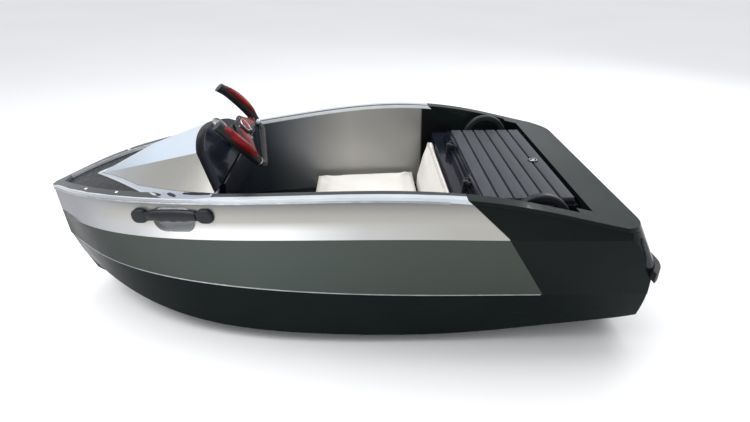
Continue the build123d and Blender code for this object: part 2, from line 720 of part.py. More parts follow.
with BuildPart() as drain_plug:
    rod_x((TRANSOM_X - DRAIN_OUT, TRANSOM_X), DRAIN_AT[0], DRAIN_AT[1], DRAIN_R)
save(drain_plug, "drain_plug")

# Drive: battery and motor in the bay, each one plain block
battery_front = BAY_FRONT - BATTERY_GAP
with BuildPart() as battery:
    box((battery_front - BATTERY[0], battery_front), (-BATTERY[1], BATTERY[1]),
        (BAY_FLOOR, BAY_FLOOR + BATTERY[2]))
save(battery, "battery_pack")

with BuildPart() as motor:
    rod_x(MOTOR_X, 0, JET_Z, MOTOR_R)
    box((MOTOR_X[0] - MOTOR_FOOT[0], MOTOR_X[1] + MOTOR_FOOT[0]), (-MOTOR_FOOT[1], MOTOR_FOOT[1]),
        (BAY_FLOOR, JET_Z))
    rod_x((MOTOR_X[1] + COUPLING, MOTOR_X[1]), 0, JET_Z, SHAFT_R + PIN_GAP, mode=Mode.SUBTRACT)
save(motor, "motor")

# Jet unit: housing with stator, impeller on its shaft, steering nozzle, intake grate
with BuildPart() as jet_housing:
    rod_x((JET_WELL_X, JET_FRONT), 0, JET_Z, HOUSING_R)
    rod_x((JET_WELL_X, JET_WELL_X - FLANGE_T), 0, JET_Z, FLANGE_R)
    rod_x((TRANSOM_X, JET_FRONT + 1), 0, JET_Z, DUCT_R, mode=Mode.SUBTRACT)
    for side in (-1, 1):
        z = sorted((JET_Z + side * EAR_Z[0], JET_Z + side * EAR_Z[1]))
        box((JET_WELL_X - FLANGE_T + 1, NOZZLE_PIVOT - EAR_NOSE), (-EAR_HALF, EAR_HALF), z)
        pin_end = JET_Z + side * (NOZZLE_R[0] - EAR_PIN_REACH)
        rod_z(NOZZLE_PIVOT, 0, (pin_end, JET_Z + side * EAR_Z[1]), EAR_PIN_R)
    with Locations(Plane(origin=((STATOR_X + JET_WELL_X) / 2, 0, JET_Z), x_dir=(0, 1, 0),
                         z_dir=(1, 0, 0))):
        with PolarLocations(0, STATOR_COUNT, start_angle=90):
            with Locations((DUCT_R / 2 + 1, 0)):
                Box(DUCT_R + 2, STATOR_T, STATOR_X - JET_WELL_X)
    rod_x((STATOR_X, JET_WELL_X), 0, JET_Z, STATOR_HUB_R)
    rod_x((STATOR_X, JET_WELL_X + FLANGE_T - 2), 0, JET_Z, SHAFT_END_R + PIN_GAP, mode=Mode.SUBTRACT)
save(jet_housing, "jet_housing")

rotor_x = (ROTOR_FRONT, ROTOR_FRONT - ROTOR_LENGTH)
core_r = SHAFT_R - SHAFT_STEP
blade_root = (ROTOR_HUB_R - BLADE_T) / 2
with BuildPart() as impeller:
    rod_x(rotor_x, 0, JET_Z, ROTOR_HUB_R)
    with Locations(Plane(origin=(sum(rotor_x) / 2, 0, JET_Z), x_dir=(0, 1, 0), z_dir=(1, 0, 0))):
        with PolarLocations(0, BLADE_COUNT):
            with Locations(Location((ROTOR_R / 2 + blade_root, 0, 0), (BLADE_PITCH, 0, 0))):
                Box(ROTOR_R - 2 * blade_root, BLADE_T, BLADE_LENGTH)
    rod_x((-REACH, 0), 0, JET_Z, ROTOR_R, mode=Mode.INTERSECT)
    rod_x(rotor_x, 0, JET_Z, core_r, mode=Mode.SUBTRACT)
save(impeller, "impeller")

with BuildPart() as drive_shaft:
    rod_x((MOTOR_X[1] + COUPLING - 2, rotor_x[0] + PIN_GAP), 0, JET_Z, SHAFT_R)
    rod_x((rotor_x[0] + 1, rotor_x[1]), 0, JET_Z, core_r)
    rod_x((rotor_x[1] + 1, JET_WELL_X + FLANGE_T), 0, JET_Z, SHAFT_END_R)
save(drive_shaft, "drive_shaft")

with BuildPart() as jet_nozzle:
    with BuildSketch(Plane.XZ):
        outer = [(NOZZLE_FRONT, JET_Z + NOZZLE_R[0]), (NOZZLE_END, JET_Z + NOZZLE_R[1])]
        Polygon((NOZZLE_FRONT, outer[0][1] - NOZZLE_WALL), *outer, (NOZZLE_END, outer[1][1] - NOZZLE_WALL),
                align=None)
    revolve(axis=Axis((0, 0, JET_Z), (1, 0, 0)))
    rod_z(NOZZLE_PIVOT, 0, (JET_Z - FLANGE_R, JET_Z + FLANGE_R), EAR_PIN_R + PIN_GAP, mode=Mode.SUBTRACT)
turned = jet_nozzle.part.rotate(Axis((NOZZLE_PIVOT, 0, 0), (0, 0, 1)), -WHEEL_TURN * NOZZLE_RATIO)
with BuildPart() as nozzle_turned:
    add(turned)
save(nozzle_turned, "jet_nozzle")

grate_x = (INTAKE[0][0] - 6 * GRATE_TIE_HALF, INTAKE[1][0] - 2)
with BuildPart() as intake_grate:
    for i in range(GRATE_BARS):
        y = (i - (GRATE_BARS - 1) / 2) * GRATE_PITCH
        box(grate_x, (y - GRATE_BAR_HALF, y + GRATE_BAR_HALF), GRATE_Z)
    for x in (grate_x[0] - GRATE_TIE_HALF, grate_x[1] + GRATE_TIE_HALF + 2):
        box((x - GRATE_TIE_HALF, x + GRATE_TIE_HALF), (-INTAKE_HALF, INTAKE_HALF), (GRATE_Z[0], GRATE_Z[1] - 2))
save(intake_grate, "intake_grate")
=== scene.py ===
"""Looks of a small electric jet boat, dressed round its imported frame. Lengths in metres."""
import json
from math import cos, pi, radians, sin, sqrt

import bmesh
import bpy
from mathutils import Matrix, Vector
from mathutils.bvhtree import BVHTree

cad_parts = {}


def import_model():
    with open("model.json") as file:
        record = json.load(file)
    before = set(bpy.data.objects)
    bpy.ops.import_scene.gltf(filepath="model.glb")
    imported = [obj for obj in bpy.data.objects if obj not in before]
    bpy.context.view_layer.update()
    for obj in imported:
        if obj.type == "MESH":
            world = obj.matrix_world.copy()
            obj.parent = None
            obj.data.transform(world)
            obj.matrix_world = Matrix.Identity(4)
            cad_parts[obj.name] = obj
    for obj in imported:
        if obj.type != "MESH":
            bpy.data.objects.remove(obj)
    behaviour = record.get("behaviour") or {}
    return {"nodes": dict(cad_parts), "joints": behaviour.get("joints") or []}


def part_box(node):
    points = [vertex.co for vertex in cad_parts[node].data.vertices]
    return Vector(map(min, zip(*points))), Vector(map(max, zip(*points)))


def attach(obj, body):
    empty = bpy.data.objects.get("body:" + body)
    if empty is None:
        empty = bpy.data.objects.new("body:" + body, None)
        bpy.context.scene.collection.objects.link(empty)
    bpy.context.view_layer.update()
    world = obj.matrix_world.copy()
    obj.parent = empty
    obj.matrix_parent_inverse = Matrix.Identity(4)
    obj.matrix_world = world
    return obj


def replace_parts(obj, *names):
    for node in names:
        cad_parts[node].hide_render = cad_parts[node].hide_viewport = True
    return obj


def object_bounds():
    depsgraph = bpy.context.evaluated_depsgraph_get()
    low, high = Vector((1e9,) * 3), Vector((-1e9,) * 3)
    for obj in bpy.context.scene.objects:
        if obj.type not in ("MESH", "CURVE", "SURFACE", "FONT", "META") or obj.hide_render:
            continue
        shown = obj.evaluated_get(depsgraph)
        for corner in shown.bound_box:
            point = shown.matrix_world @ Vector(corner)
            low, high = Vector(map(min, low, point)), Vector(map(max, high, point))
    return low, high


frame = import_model()
CAD_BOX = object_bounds()
NODES = frame["nodes"]

# Camera of the photograph, whose frame is 750 x 422
CAMERA_AT = (-0.107, 1.995, 1.323)
CAMERA_DOWN = 26.44
CAMERA_TURN = -1.61
CAMERA_LENS = 25.97
CAMERA_SENSOR = 36


def slice_points(node, axis, at):
    """Points where a plane across one axis cuts a node."""
    form = bmesh.new()
    form.from_mesh(NODES[node].data)
    normal = Vector([float(i == axis) for i in range(3)])
    cut = bmesh.ops.bisect_plane(form, geom=form.verts[:] + form.edges[:] + form.faces[:],
                                 plane_co=normal * at, plane_no=normal)["geom_cut"]
    points = [g.co.copy() for g in cut if isinstance(g, bmesh.types.BMVert)]
    form.free()
    return points


def edge_line(node, axis, low, high, count, score):
    """Line along a node through the best point of each slice."""
    cuts = [slice_points(node, axis, low + (high - low) * i / (count - 1)) for i in range(count)]
    return [max(points, key=score) for points in cuts if points]


# Hull lines that the paint follows: the knuckle's height and the gunwale's half breadth along X
KNUCKLE_TIP = Vector((1.1, 0.012, 0.342))
KNUCKLE = edge_line("topsides", 0, -0.3, 0.82, 9, lambda p: p.y) + [KNUCKLE_TIP]
KNUCKLE_HEIGHT = [(p.x, p.z) for p in KNUCKLE]
KNUCKLE_SOFT = 0.02
GUNWALE = edge_line("gunwale_cap", 0, -0.31, 1.06, 14, lambda p: p.y)
GUNWALE_BREADTH = [(p.x, p.y) for p in GUNWALE]
GUNWALE_LIP = ((-0.4, 0.024), (0.36, 0.024), (0.43, 0.007), (1.1, 0.006))
LEVEL = 0.5
DASH_X = 0.375
COWL_CREASE = ((0.466, 0.2), (0.69, 0.104), (0.916, 0.0))
VEE_END = (0.572, 0.352)

# Scoops behind the bow handles, which get a painted highlight
SCOOP_SUNK = 0.013
SCOOP_X = 0.512
SCOOP_HALF = 0.1
SCOOP_LOW = 0.015

EASED_EDGE = 0.0025
SMOOTH_ROUNDS = 6
UP = Vector((0, 0, 1))


class Shader:
    """A material on one Principled shader, with the few nodes that feed it."""

    def __init__(self, name, **sockets):
        self.material = bpy.data.materials.new(name)
        self.material.use_nodes = True
        self.nodes = self.material.node_tree.nodes
        self.links = self.material.node_tree.links
        self.surface = self.nodes["Principled BSDF"]
        for socket, value in sockets.items():
            self.surface.inputs[socket.replace("_", " ")].default_value = value
        self.place = self.add("ShaderNodeTexCoord").outputs["Object"]
        eased = self.add("ShaderNodeBevel", Radius=EASED_EDGE)
        self.join(eased.outputs["Normal"], self.surface.inputs["Normal"])

    def add(self, kind, **settings):
        node = self.nodes.new(kind)
        for key, value in settings.items():
            if key in node.inputs:
                node.inputs[key].default_value = value
            else:
                setattr(node, key, value)
        return node

    def join(self, source, target):
        self.links.new(source, target)

    def read(self, kind, output, place=None, **settings):
        """Output of a node that reads a place, the object's own if none is given."""
        node = self.add(kind, **settings)
        self.join(place or self.place, node.inputs["Vector"])
        return node.outputs[output]

    def stretched(self, scale):
        """Object place with each axis scaled, for grain that runs one way."""
        return self.read("ShaderNodeMapping", "Vector", Scale=scale)

    def noise(self, scale, detail=4.0, place=None):
        """Cloudy noise."""
        return self.read("ShaderNodeTexNoise", "Fac", place, Scale=scale, Detail=detail)

    def cells(self, scale):
        """Rounded pebbles."""
        return self.read("ShaderNodeTexVoronoi", "Distance", Scale=scale, feature="SMOOTH_F1")

    def waves(self, scale, direction):
        """Parallel bands."""
        return self.read("ShaderNodeTexWave", "Fac", Scale=scale, bands_direction=direction)

    def spread(self, value, low, high, start=0.3, end=0.7):
        """Value carried from start..end to low..high."""
        node = self.add("ShaderNodeMapRange")
        limits = {"From Min": start, "From Max": end, "To Min": low, "To Max": high}
        for socket, number in limits.items():
            node.inputs[socket].default_value = number
        self.join(value, node.inputs["Value"])
        return node.outputs["Result"]

    def shades(self, value, *stops):
        """Colour ramp of (place, colour) stops, read at a value."""
        ramp = self.add("ShaderNodeValToRGB")
        points = ramp.color_ramp.elements
        while len(points) < len(stops):
            points.new(1.0)
        for point, (at, colour) in zip(points, stops):
            point.position = at
            point.color = (*colour, 1)
        self.join(value, ramp.inputs["Fac"])
        return ramp.outputs["Color"]

    def tones(self, dark, pale, scale, detail=4.0):
        """Two tones mottled by noise."""
        return self.shades(self.noise(scale, detail), (0.3, dark), (0.7, pale))

    def over(self, share, below, above):
        """Second colour laid over the first by a share."""
        node = self.add("ShaderNodeMix", data_type="RGBA")
        self.join(share, node.inputs["Factor"])
        self.join(below, node.inputs[6])
        self.join(above, node.inputs[7])
        return node.outputs[2]

    def colour(self, value):
        self.join(value, self.surface.inputs["Base Color"])

    def rough(self, value):
        self.join(value, self.surface.inputs["Roughness"])

    def gloss(self, low, high, scale, detail=4.0):
        """Roughness that varies with noise."""
        self.rough(self.spread(self.noise(scale, detail), low, high))

    def bump(self, height, distance, strength):
        """Relief of a height, laid over the relief that is there already."""
        node = self.add("ShaderNodeBump", Strength=strength, Distance=distance)
        self.join(height, node.inputs["Height"])
        below = self.surface.inputs["Normal"].links[0].from_socket
        self.join(below, node.inputs["Normal"])
        self.join(node.outputs["Normal"], self.surface.inputs["Normal"])

    def grain(self, distance, strength, scale, detail=4.0):
        """Relief of plain noise."""
        self.bump(self.noise(scale, detail), distance, strength)

    def maths(self, operation, first, second):
        """Sum, product or comparison of a socket with a socket or a number."""
        node = self.add("ShaderNodeMath", operation=operation)
        self.join(first, node.inputs[0])
        if isinstance(second, float):
            node.inputs[1].default_value = second
        else:
            self.join(second, node.inputs[1])
        return node.outputs["Value"]

    def lookup(self, value, points):
        """Height of the line through (place, height) points at a value."""
        start, end = points[0][0], points[-1][0]
        stops = [((at - start) / (end - start), (height, height, height)) for at, height in points]
        return self.shades(self.spread(value, 0.0, 1.0, start, end), *stops)

    def normal(self, axis):
        """How far the face looks along an axis, from -1 to 1."""
        face = self.add("ShaderNodeNewGeometry").outputs["Normal"]
        return self.read("ShaderNodeSeparateXYZ", axis, face)

    def facing_in(self):
        """One on faces that look towards the centre line, zero elsewhere."""
        outward = self.maths("MULTIPLY", self.normal("Y"), self.along("Y"))
        return self.maths("LESS_THAN", outward, -0.02)

    def along(self, axis):
        """Height, length or breadth of the surface point."""
        return self.read("ShaderNodeSeparateXYZ", axis)

    def share(self, axis, start, end):
        """Zero to one between two places along an axis."""
        return self.spread(self.along(axis), 0.0, 1.0, start, end)

    def breadth(self):
        """Distance from the centre line."""
        return self.maths("ABSOLUTE", self.along("Y"), 0.0)


FINISHES = {}


def finish(**sockets):
    """Files the finish that a function paints on a shader with these constants."""
    def file(paint):
        shader = Shader(paint.__name__, **sockets)
        paint(shader)
        FINISHES[paint.__name__] = shader.material
        return paint
    return file


@finish(Coat_Weight=0.11, Coat_Roughness=0.02, Specular_IOR_Level=0.03)
def gelcoat_black(s):
    """Glossy black gelcoat with a green cast, a paler painted sheen where it faces the sky, with orange
    peel.
    """
    side = s.tones((0.0028, 0.005, 0.0046), (0.0056, 0.0088, 0.008), 3)
    # The upward faces take the paler deck tone: a painted sheen of the sky's reflection.
    deck = s.tones((0.006, 0.009, 0.009), (0.014, 0.019, 0.019), 1.8)
    s.colour(s.over(s.spread(s.normal("Z"), 0.0, 1.0, 0.12, 0.8), side, deck))
    s.gloss(0.1, 0.2, 40, 8)
    s.grain(0.0003, 0.1, 260, 2)


@finish(Coat_Weight=0.02, Coat_Roughness=0.08, Specular_IOR_Level=0.04)
def bottom_black(s):
    """Duller black of the hull bottom, with scuffs along the boat."""
    s.colour(s.tones((0.0022, 0.0048, 0.005), (0.005, 0.0086, 0.0086), 3))
    s.rough(s.spread(s.noise(14.0, 8.0, s.stretched((0.2, 1.0, 2.0))), 0.14, 0.3))
    s.grain(0.0003, 0.1, 260, 2)


def handle_scoop(s, height):
    """One in the scoops behind the bow handles, where a painted highlight goes, zero elsewhere on the
    topsides.
    """
    edge = s.lookup(s.along("X"), GUNWALE_BREADTH)
    sunk = s.maths("LESS_THAN", s.maths("ADD", s.breadth(), SCOOP_SUNK), edge)
    ahead = s.maths("ABSOLUTE", s.maths("SUBTRACT", s.along("X"), SCOOP_X), 0.0)
    near = s.maths("LESS_THAN", ahead, SCOOP_HALF)
    upper = s.maths("MULTIPLY", near, s.maths("GREATER_THAN", height, SCOOP_LOW))
    return s.maths("MULTIPLY", sunk, upper)


@finish(Metallic=0.7, Coat_Weight=0.06, Coat_Roughness=0.06, Specular_Tint=(0.3, 0.3, 0.3, 1))
def gelcoat_silver(s):
    """Metallic silver: pale and beige above the knuckle with painted shade under the rim, a white painted
    highlight along it, grey-green painted shade below where it faces down, painted shade inside, and a
    painted highlight in the handle scoops.
    """
    height = s.maths("SUBTRACT", s.along("Z"), s.lookup(s.along("X"), KNUCKLE_HEIGHT))
    # Beige above the knuckle, darkening up towards the rim as painted shade under the rim.
    beige_and_painted_rim_shade = s.shades(s.spread(height, 0.0, 1.0, 0.045, 0.125), (0, (0.45, 0.44, 0.405)),
                     (0.5, (0.38, 0.365, 0.335)), (0.8, (0.28, 0.275, 0.265)), (1, (0.19, 0.195, 0.2)))
    bow = s.tones((0.3, 0.305, 0.33), (0.33, 0.335, 0.36), 3)
    pale = s.over(s.share("X", 0.62, 0.92), beige_and_painted_rim_shade, bow)
    # White painted highlight along the knuckle, strongest amidships and fading towards bow and stern.
    painted_knuckle_highlight = s.shades(s.share("X", -0.4, 1.0), (0, (0.42, 0.41, 0.38)), (0.2, (0.5, 0.5, 0.49)),
                    (0.38, (0.82, 0.83, 0.83)), (0.6, (0.84, 0.84, 0.84)), (0.76, (0.44, 0.44, 0.45)),
                    (1, (0.3, 0.305, 0.33)))
    above = s.over(s.spread(height, 1.0, 0.0, 0.03, 0.062), pale, painted_knuckle_highlight)
    # Grey-green below the knuckle, darker at the bow: painted shade where the flank faces down, laid on by
    # the mask below.
    below = s.shades(s.share("X", -0.6, 1.0), (0, (0.058, 0.068, 0.058)), (0.55, (0.064, 0.08, 0.073)),
                     (0.8, (0.055, 0.065, 0.058)), (1, (0.03, 0.037, 0.037)))
    facing_down_painted_shade = s.spread(s.normal("Z"), 1.0, 0.0, -0.045, -0.015)
    under = s.maths("MULTIPLY", facing_down_painted_shade, s.maths("LESS_THAN", height, KNUCKLE_SOFT))
    # Painted highlight in the scoops behind the bow handles.
    painted_scoop_highlight = s.tones((0.8, 0.83, 0.88), (0.9, 0.92, 0.96), 6)
    outer = s.over(handle_scoop(s, height), s.over(under, above, below), painted_scoop_highlight)
    # Painted shade along the cockpit liner: dark aft, paler amidships, dark again towards the bow.
    liner_painted_shade = s.shades(s.share("X", -0.4, 0.36), (0, (0.008, 0.009, 0.01)), (0.012, (0.32, 0.315, 0.3)),
                     (0.45, (0.43, 0.42, 0.4)), (0.75, (0.21, 0.22, 0.23)), (0.95, (0.07, 0.085, 0.105)))
    s.colour(s.over(s.facing_in(), outer, liner_painted_shade))
    s.gloss(0.29, 0.34, 55, 8)
    s.grain(0.0003, 0.015, 180, 2)


@finish(Metallic=0.8, Coat_Weight=0.3, Coat_Roughness=0.12)
def trim_silver(s):
    """Satin silver of the deck strip and the wheel sleeves."""
    s.colour(s.tones((0.52, 0.55, 0.58), (0.62, 0.65, 0.68), 6))
    s.gloss(0.26, 0.4, 90, 8)
    s.grain(0.0002, 0.15, 320, 3)


@finish(Metallic=0.55, Coat_Weight=0.15, Coat_Roughness=0.12)
def gunwale(s):
    """Pale lip, narrow at the bow, and inside it a moulding that goes on from the deck and the cockpit, with
    a painted highlight on the cap's inward faces.
    """
    lip = s.tones((0.5, 0.545, 0.58), (0.6, 0.645, 0.68), 6)
    flank = s.tones((0.3, 0.305, 0.32), (0.34, 0.345, 0.36), 3)
    steep = s.maths("LESS_THAN", s.normal("Z"), LEVEL)
    outer = s.over(s.maths("MULTIPLY", s.share("X", 0.28, 0.56), steep), lip, flank)
    deck = s.tones((0.3, 0.32, 0.37), (0.36, 0.38, 0.44), 5)
    dark = s.tones((0.012, 0.014, 0.018), (0.022, 0.025, 0.031), 9)
    vee = s.maths("GREATER_THAN", s.maths("ADD", s.along("X"), s.breadth()), sum(VEE_END))
    bare = s.maths("MAXIMUM", vee, s.maths("LESS_THAN", s.along("X"), DASH_X))
    reach = s.maths("ADD", s.breadth(), s.lookup(s.along("X"), GUNWALE_LIP))
    inside = s.maths("LESS_THAN", reach, s.lookup(s.along("X"), GUNWALE_BREADTH))
    moulding = s.maths("MULTIPLY", inside, s.maths("GREATER_THAN", s.normal("Z"), LEVEL))
    # Painted highlight on the cap's faces that look towards the centre line.
    inner = s.tones((0.8, 0.84, 0.88), (0.88, 0.91, 0.94), 6)
    s.colour(s.over(moulding, s.over(s.facing_in(), outer, inner), s.over(bare, deck, dark)))
    s.gloss(0.28, 0.36, 90, 8)
    s.grain(0.0002, 0.02, 320, 3)


@finish(Metallic=0.4, Coat_Weight=0.15, Coat_Roughness=0.1)
def side_deck(s):
    """Blue-grey satin deck beside the cowl."""
    s.colour(s.tones((0.32, 0.34, 0.4), (0.38, 0.4, 0.46), 5))
    s.gloss(0.26, 0.4, 60, 8)
    s.grain(0.0002, 0.12, 320, 3)


@finish(Coat_Weight=0.02, Coat_Roughness=0.12, Specular_IOR_Level=0.06)
def deck_dark(s):
    """Anthracite deck panel, satin with a fine moulded grain."""
    s.colour(s.tones((0.01, 0.0105, 0.012), (0.017, 0.018, 0.02), 8))
    s.gloss(0.2, 0.38, 60, 8)
    s.grain(0.0003, 0.15, 420, 3)


@finish(Metallic=0.5, Coat_Weight=0.22, Coat_Roughness=0.07)
def cowl_silver(s):
    """Console paint: painted reflections, blue-white between the creases and warm grey on the flanks, with
    black round the dash.
    """
    # The blue-white top and warm grey flanks, each fading along the cowl, are painted reflections of one
    # silver paint.
    flank = s.shades(s.share("X", 0.38, 0.9), (0, (0.235, 0.228, 0.208)), (0.45, (0.25, 0.246, 0.23)),
                     (0.75, (0.265, 0.273, 0.273)), (1, (0.33, 0.355, 0.385)))
    top = s.shades(s.share("X", 0.4, 0.9), (0, (0.52, 0.58, 0.66)), (0.5, (0.5, 0.57, 0.65)),
                   (1, (0.36, 0.4, 0.44)))
    inside = s.maths("LESS_THAN", s.breadth(), s.lookup(s.along("X"), COWL_CREASE))
    rim = s.tones((0.004, 0.005, 0.008), (0.008, 0.009, 0.014), 4)
    s.colour(s.over(s.spread(s.normal("X"), 1.0, 0.0, -0.55, -0.45), s.over(inside, flank, top), rim))
    s.gloss(0.28, 0.34, 55, 8)
    s.grain(0.0002, 0.015, 240, 2)


@finish(Coat_Weight=0.09, Coat_Roughness=0.03, Specular_IOR_Level=0.08)
def dash_black(s):
    """Deep glossy navy black."""
    s.colour(s.tones((0.0045, 0.0058, 0.0095), (0.009, 0.011, 0.018), 4))
    s.gloss(0.1, 0.24, 70, 8)
    s.grain(0.0002, 0.1, 220, 2)


@finish(Coat_Weight=0.8, Coat_Roughness=0.05)
def gauge_face(s):
    """Grey of the dial and its bezel."""
    s.colour(s.tones((0.16, 0.17, 0.19), (0.24, 0.25, 0.27), 40))
    s.gloss(0.25, 0.4, 300)
    s.grain(0.0001, 0.2, 900)


@finish(Coat_Weight=0.06, Coat_Roughness=0.2, Specular_IOR_Level=0.22)
def wheel_black(s):
    """Satin black moulding with a leather-like grain."""
    s.colour(s.tones((0.009, 0.009, 0.01), (0.018, 0.018, 0.02), 20))
    s.gloss(0.28, 0.46, 120, 8)
    s.bump(s.cells(700.0), 0.0003, 0.2)


@finish(Coat_Weight=0.18, Coat_Roughness=0.05, Specular_IOR_Level=0.12)
def grip_red(s):
    """Deep red gloss lacquer with darker streaks under it."""
    grain = s.noise(18.0, 6.0, s.stretched((1.0, 1.0, 4.0)))
    s.colour(s.shades(grain, (0.25, (0.07, 0.002, 0.003)), (0.55, (0.17, 0.002, 0.004)),
                      (0.8, (0.28, 0.006, 0.008))))
    s.gloss(0.14, 0.26, 150, 6)
    s.grain(0.0002, 0.1, 300, 2)


@finish()
def mat_dark(s):
    """Foam sole mat with planed grooves."""
    s.colour(s.tones((0.018, 0.019, 0.02), (0.038, 0.039, 0.041), 30, 8))
    s.gloss(0.72, 0.92, 200, 8)
    s.bump(s.spread(s.waves(20.0, "Y"), 0.0, 1.0, 0.02, 0.12), 0.0015, 0.8)
    s.grain(0.0004, 0.4, 900, 3)


@finish()
def seat_box(s):
    """Dark moulded seat box."""
    s.colour(s.tones((0.016, 0.017, 0.018), (0.03, 0.031, 0.033), 12))
    s.gloss(0.4, 0.6, 90, 8)
    s.grain(0.0003, 0.25, 500, 4)


@finish(Specular_IOR_Level=0.4, Coat_Weight=0.08, Coat_Roughness=0.3, Sheen_Weight=0.12)
def seat_vinyl(s):
    """Cream marine vinyl with a pebbled grain and handling marks."""
    s.colour(s.tones((0.6, 0.575, 0.535), (0.67, 0.65, 0.615), 5, 6))
    s.gloss(0.42, 0.6, 70, 8)
    s.bump(s.cells(420.0), 0.0005, 0.25)
    s.grain(0.004, 0.18, 16, 4)


@finish(Specular_IOR_Level=0.25)
def slat_grey(s):
    """Matte dark grey decking with grain along the slat."""
    grain = s.noise(30.0, 8.0, s.stretched((6.0, 0.35, 6.0)))
    s.colour(s.shades(grain, (0.3, (0.026, 0.028, 0.034)), (0.7, (0.052, 0.056, 0.066))))
    s.rough(s.spread(grain, 0.5, 0.72))
    s.bump(grain, 0.0006, 0.35)


@finish(Coat_Weight=0.05, Coat_Roughness=0.2, Specular_IOR_Level=0.18)
def handle_black(s):
    """Satin black grip plastic."""
    s.colour(s.tones((0.01, 0.011, 0.014), (0.019, 0.02, 0.024), 14))
    s.gloss(0.26, 0.46, 110, 8)
    s.grain(0.0003, 0.25, 600, 4)


@finish(Specular_IOR_Level=0.3)
def bumper_rubber(s):
    """Matte rubber with scuffs."""
    s.colour(s.tones((0.009, 0.009, 0.01), (0.024, 0.024, 0.025), 22, 8))
    s.gloss(0.45, 0.7, 90, 8)
    s.grain(0.0004, 0.3, 700, 4)


@finish(Metallic=1.0)
def steel(s):
    """Brushed stainless steel."""
    brush = s.noise(60.0, 6.0, s.stretched((1.0, 12.0, 12.0)))
    s.colour(s.shades(brush, (0.3, (0.5, 0.5, 0.51)), (0.7, (0.68, 0.68, 0.69))))
    s.rough(s.spread(brush, 0.22, 0.36))
    s.bump(brush, 0.0002, 0.12)


@finish(Metallic=0.9)
def jet_alloy(s):
    """Cast aluminium of the jet unit and the side beads."""
    s.colour(s.tones((0.3, 0.31, 0.32), (0.44, 0.45, 0.46), 25, 8))
    s.gloss(0.34, 0.56, 60, 8)
    s.grain(0.0005, 0.35, 350, 4)


@finish()
def battery_case(s):
    """Dark moulded battery case."""
    s.colour(s.tones((0.016, 0.018, 0.022), (0.03, 0.033, 0.039), 15))
    s.gloss(0.4, 0.6, 100, 8)
    s.grain(0.0003, 0.3, 450, 4)


@finish(Metallic=0.6)
def motor_alloy(s):
    """Painted motor casting."""
    s.colour(s.tones((0.16, 0.17, 0.18), (0.26, 0.27, 0.29), 30, 6))
    s.gloss(0.36, 0.55, 80, 8)
    s.grain(0.0004, 0.3, 380, 4)


@finish(Specular_IOR_Level=0.4)
def seat_piping(s):
    """Piping a shade warmer than the vinyl."""
    s.colour(s.tones((0.4, 0.375, 0.335), (0.5, 0.475, 0.43), 30, 6))
    s.gloss(0.45, 0.62, 90, 8)
    s.bump(s.cells(500.0), 0.0004, 0.25)


@finish(Coat_Weight=0.3, Coat_Roughness=0.15)
def mark_white(s):
    """White of the dial marks."""
    s.colour(s.tones((0.72, 0.73, 0.74), (0.82, 0.83, 0.84), 60))
    s.gloss(0.25, 0.4, 200)
    s.grain(0.0002, 0.15, 500)


@finish(Metallic=0.3, Specular_IOR_Level=0.2)
def blackened(s):
    """Blackened steel of hinges and dark screws."""
    s.colour(s.tones((0.016, 0.017, 0.02), (0.034, 0.036, 0.041), 60, 6))
    s.gloss(0.38, 0.55, 160, 6)
    s.grain(0.0002, 0.2, 500)


CLOSER_FINISHES = (
    ("hatch_hinge_port", "blackened"), ("hatch_hinge_starboard", "blackened"), ("gunwale_cap", "gunwale"),
    ("console_deck", "side_deck"), ("hull_bottom", "bottom_black"), ("hatch_deck", "dash_black"),
    ("bulkhead", "dash_black"))


def dress_frame():
    """Gives every node of the frame the finish of its own slot, and a few nodes a closer one."""
    for node in NODES.values():
        for held in node.material_slots:
            held.material = FINISHES[held.material.name.split(".")[0]]
    for name, finish in CLOSER_FINISHES:
        NODES[name].material_slots[0].material = FINISHES[finish]


def apply_modifiers(piece):
    """Bakes a piece's modifiers into its mesh."""
    final = piece.evaluated_get(bpy.context.evaluated_depsgraph_get())
    piece.data = bpy.data.meshes.new_from_object(final)
    piece.modifiers.clear()


def shown(name, data):
    """New object in the scene."""
    made = bpy.data.objects.new(name, data)
    bpy.context.scene.collection.objects.link(made)
    return made


def smooth(mesh, angle=40):
    """Smooth shading, kept sharp at folds past an angle."""
    for face in mesh.polygons:
        face.use_smooth = True
    mesh.set_sharp_from_angle(angle=radians(angle))


def piece(name, form, finish, body="hull", angle=40, slot=None):
    """New piece of the boat from a bmesh, riding on a body."""
    bmesh.ops.recalc_face_normals(form, faces=form.faces)
    mesh = bpy.data.meshes.new(name)
    form.to_mesh(mesh)
    form.free()
    smooth(mesh, angle)
    mesh.materials.append(FINISHES[finish])
    made = shown(name, mesh)
    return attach(made, body)


def lathe(form, profile, place, segments):
    """Adds a turned shape of (radius, height) points about the Z axis of a place."""
    rings = []
    for radius, height in profile:
        count = segments if radius > 0 else 1
        turns = [2 * pi * i / segments for i in range(count)]
        points = [Vector((radius * cos(t), radius * sin(t), height)) for t in turns]
        rings.append([form.verts.new(place @ point) for point in points])
    for low, high in zip(rings, rings[1:]):
        for i in range(segments):
            j = i + 1
            corners = (low[i % len(low)], low[j % len(low)], high[j % len(high)], high[i % len(high)])
            form.faces.new(dict.fromkeys(corners))


def stitch(form, rows, around=True):
    """Joins rows of vertices by faces, each row closed to a ring if it runs around."""
    for one, other in zip(rows, rows[1:]):
        for i in range(len(one) if around else len(one) - 1):
            j = (i + 1) % len(one)
            form.faces.new((one[i], one[j], other[j], other[i]))


